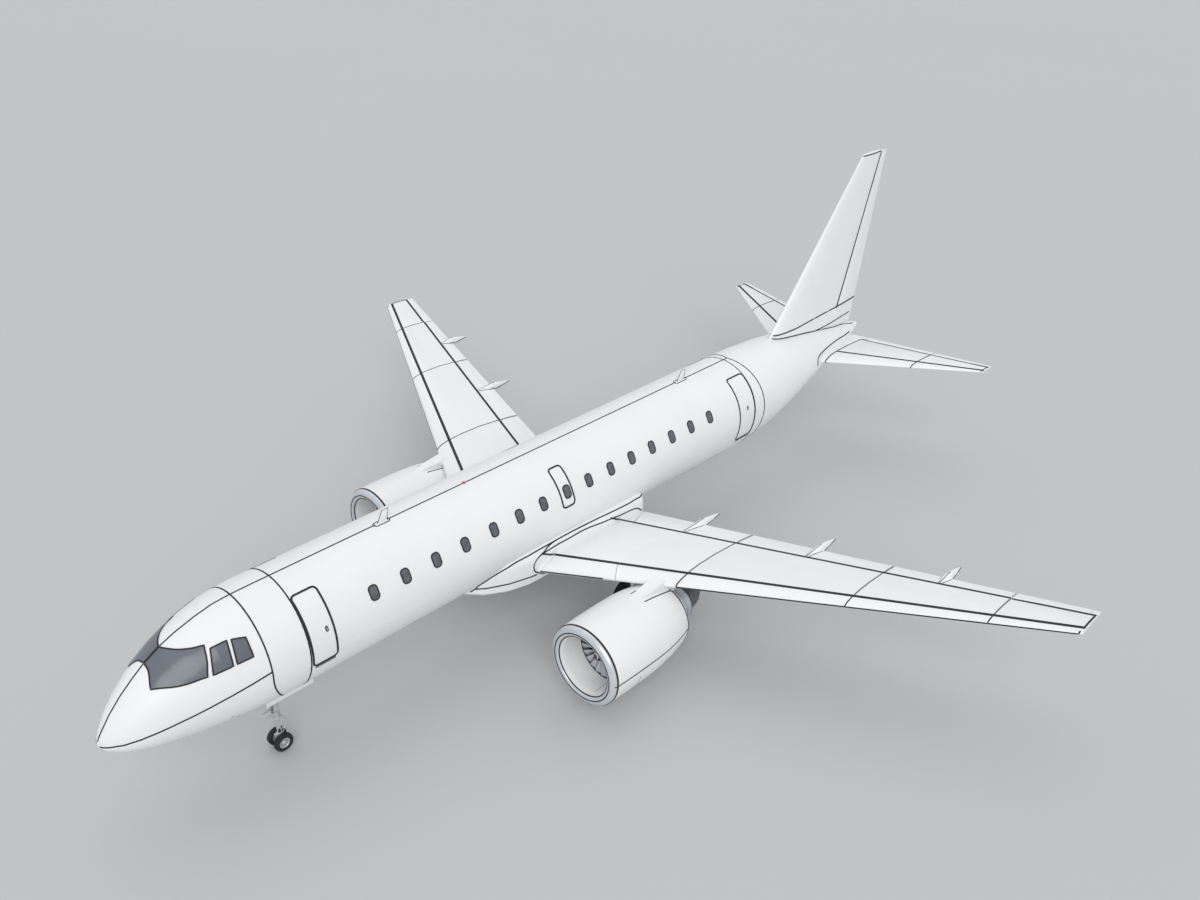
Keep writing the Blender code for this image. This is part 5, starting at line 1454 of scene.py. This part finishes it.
def hull_fittings():
    ports, probes, plates, lamps, masts, lines, ring, mouth = kits(8)
    for _, side in SIDES:
        for station, angle in ((3.25, -44.0), (3.62, -49.0)):
            place = skin_place(station, angle, side)
            plates.patch(rounded(0.055, 0.055, 0.05, 4), place, proud=0.003)
            ports.patch(rounded(0.012, 0.012, 0.011, 3), place, proud=0.005)
        base, out = skin_place(2.75, -46.0, side)(0.0, 0.0)
        probes.tube([base - out * 0.01, base + out * 0.055, base + out * 0.075 + X * 0.03], 0.012, 10)
        probes.tube([base + out * 0.075 + X * 0.02, base + out * 0.075 + X * 0.17], (0.012, 0.007), 10)
        base, out = skin_place(3.05, -38.0, side)(0.0, 0.0)
        foot = ((0.0, 0.032), (0.008, 0.032), (0.010, 0.010), (0.03, 0.010))
        probes.turned(base - out * 0.004, out, foot, 20)
        probes.box(base + out * 0.045 - X * 0.03, (0.045, 0.004, 0.016), (X, out.cross(X), out))
    for station, length in ((7.3, 0.34), (10.2, 0.28), (22.3, 0.34)):
        low = crown(station, 0.0, -1)[0]
        rings = []
        for drop, first, last, half in MAST_SECTIONS:
            top = low - Z * drop
            middle = top - X * (first + last) / 2 * length
            front, back = top - X * first * length, top - X * last * length
            rings.append([front, middle + Y * half, back, middle - Y * half])
        masts.loft(rings)
    for station, y in ((8.6, 0.35), (21.4, -0.4)):
        masts.box(crown(station, y, -1)[0] - Z * 0.07 - X * 0.03, (0.05, 0.012, 0.085))
    for face, station in ((1, 12.4), (-1, 11.35)):
        spot, out = crown(station, 0.0, face)[0], Z * face
        plates.turned(spot - out * 0.006, out, ((0.0, 0.075), (0.012, 0.075), (0.016, 0.065)), 32)
        dome = ((0.0, 0.055), (0.02, 0.052), (0.035, 0.035), (0.04, 0.0))
        lamps.turned(spot + out * 0.008, out, dome, 28)
    for hatch in HATCHES:
        place, half_u, half_v = skin_panel(*hatch)
        lines.outline(dense(rounded(half_u, half_v, 0.07, 4), 0.1), place, 0.022)
    tail = at(36.2405, 0.0, 0.415)
    pipe = ((0.0, 0.094), (0.0, 0.112), (0.03, 0.108), (0.03, 0.088))
    ring.turned(tail + X * 0.02, -X, pipe, 40, loop=True)
    # Near-black disc inside the exhaust pipe: painted shade of the pipe's inside
    mouth.hoop(tail, -X, 0.0, 0.004, 0.0, 0.078, 32, loop=False)
    ports.make("static_ports", SEAM_AND_SHADE, "gear_metal")
    probes.make("nose_probes", STEEL)
    plates.make("port_plates", STEEL)
    lamps.make("beacons", RED)
    masts.make("belly_masts", PAINT)
    lines.lines("hatch_outlines")
    ring.make("exhaust_ring", NOZZLE)
    mouth.make("exhaust_mouth_shade", SEAM_AND_SHADE, "plug_metal")


# Studio. Lamps: name, energy, angular size, turn
FLOOR_HALF = 900.0
SKY_COLOUR = (0.975, 0.985, 1.0, 1.0)
SKY_STRENGTH = 0.66
SUNS = (("key", 1.15, 40.0, (54.0, 0.0, 138.0)), ("top", 0.35, 60.0, (20.0, 0.0, -30.0)))


def stage():
    mesh = bpy.data.meshes.new("floor")
    corners = ((-1, -1), (1, -1), (1, 1), (-1, 1))
    mesh.from_pydata([(a * FLOOR_HALF, b * FLOOR_HALF, 0.0) for a, b in corners], [], [(0, 1, 2, 3)])
    paint = material("floor_paint", (0.56, 0.565, 0.575), 0.7, spread=0.01, scale=0.02, bump=0.0)
    mesh.materials.append(paint)
    floor = bpy.data.objects.new("floor", mesh)
    bpy.context.scene.collection.objects.link(floor)
    world = bpy.data.worlds.new("studio")
    world.use_nodes = True
    sky = world.node_tree.nodes["Background"]
    sky.inputs["Color"].default_value = SKY_COLOUR
    sky.inputs["Strength"].default_value = SKY_STRENGTH
    bpy.context.scene.world = world
    for name, energy, size, turn in SUNS:
        data = bpy.data.lights.new(name, "SUN")
        data.energy = energy
        data.angle = math.radians(size)
        lamp = bpy.data.objects.new(name, data)
        lamp.rotation_euler = tuple(math.radians(a) for a in turn)
        bpy.context.scene.collection.objects.link(lamp)
    bpy.context.scene.view_settings.view_transform = "Standard"
    bpy.context.scene.view_settings.look = "None"


paint_nodes()
fuselage_seams()
cabin_windows()
door_outlines()
cockpit_glass()
antenna_lines()
wing_lines()
slat_flap_lines()
wing_panels()
pods()
wing_tips()
fairing_lines()
tail_lines()
fin_lines()
engine_bodies()
engine_lines()
fans()
engine_inside()
for hand_name, hand in SIDES:
    wheel_pair("main_wheels_" + hand_name, hand * MAIN_GEAR["y"], MAIN_GEAR)
wheel_pair("nose_wheels", 0.0, NOSE_GEAR)
main_gear_details()
nose_gear_details()
nose_bay()
wheel_wells()
hull_fittings()
stage()
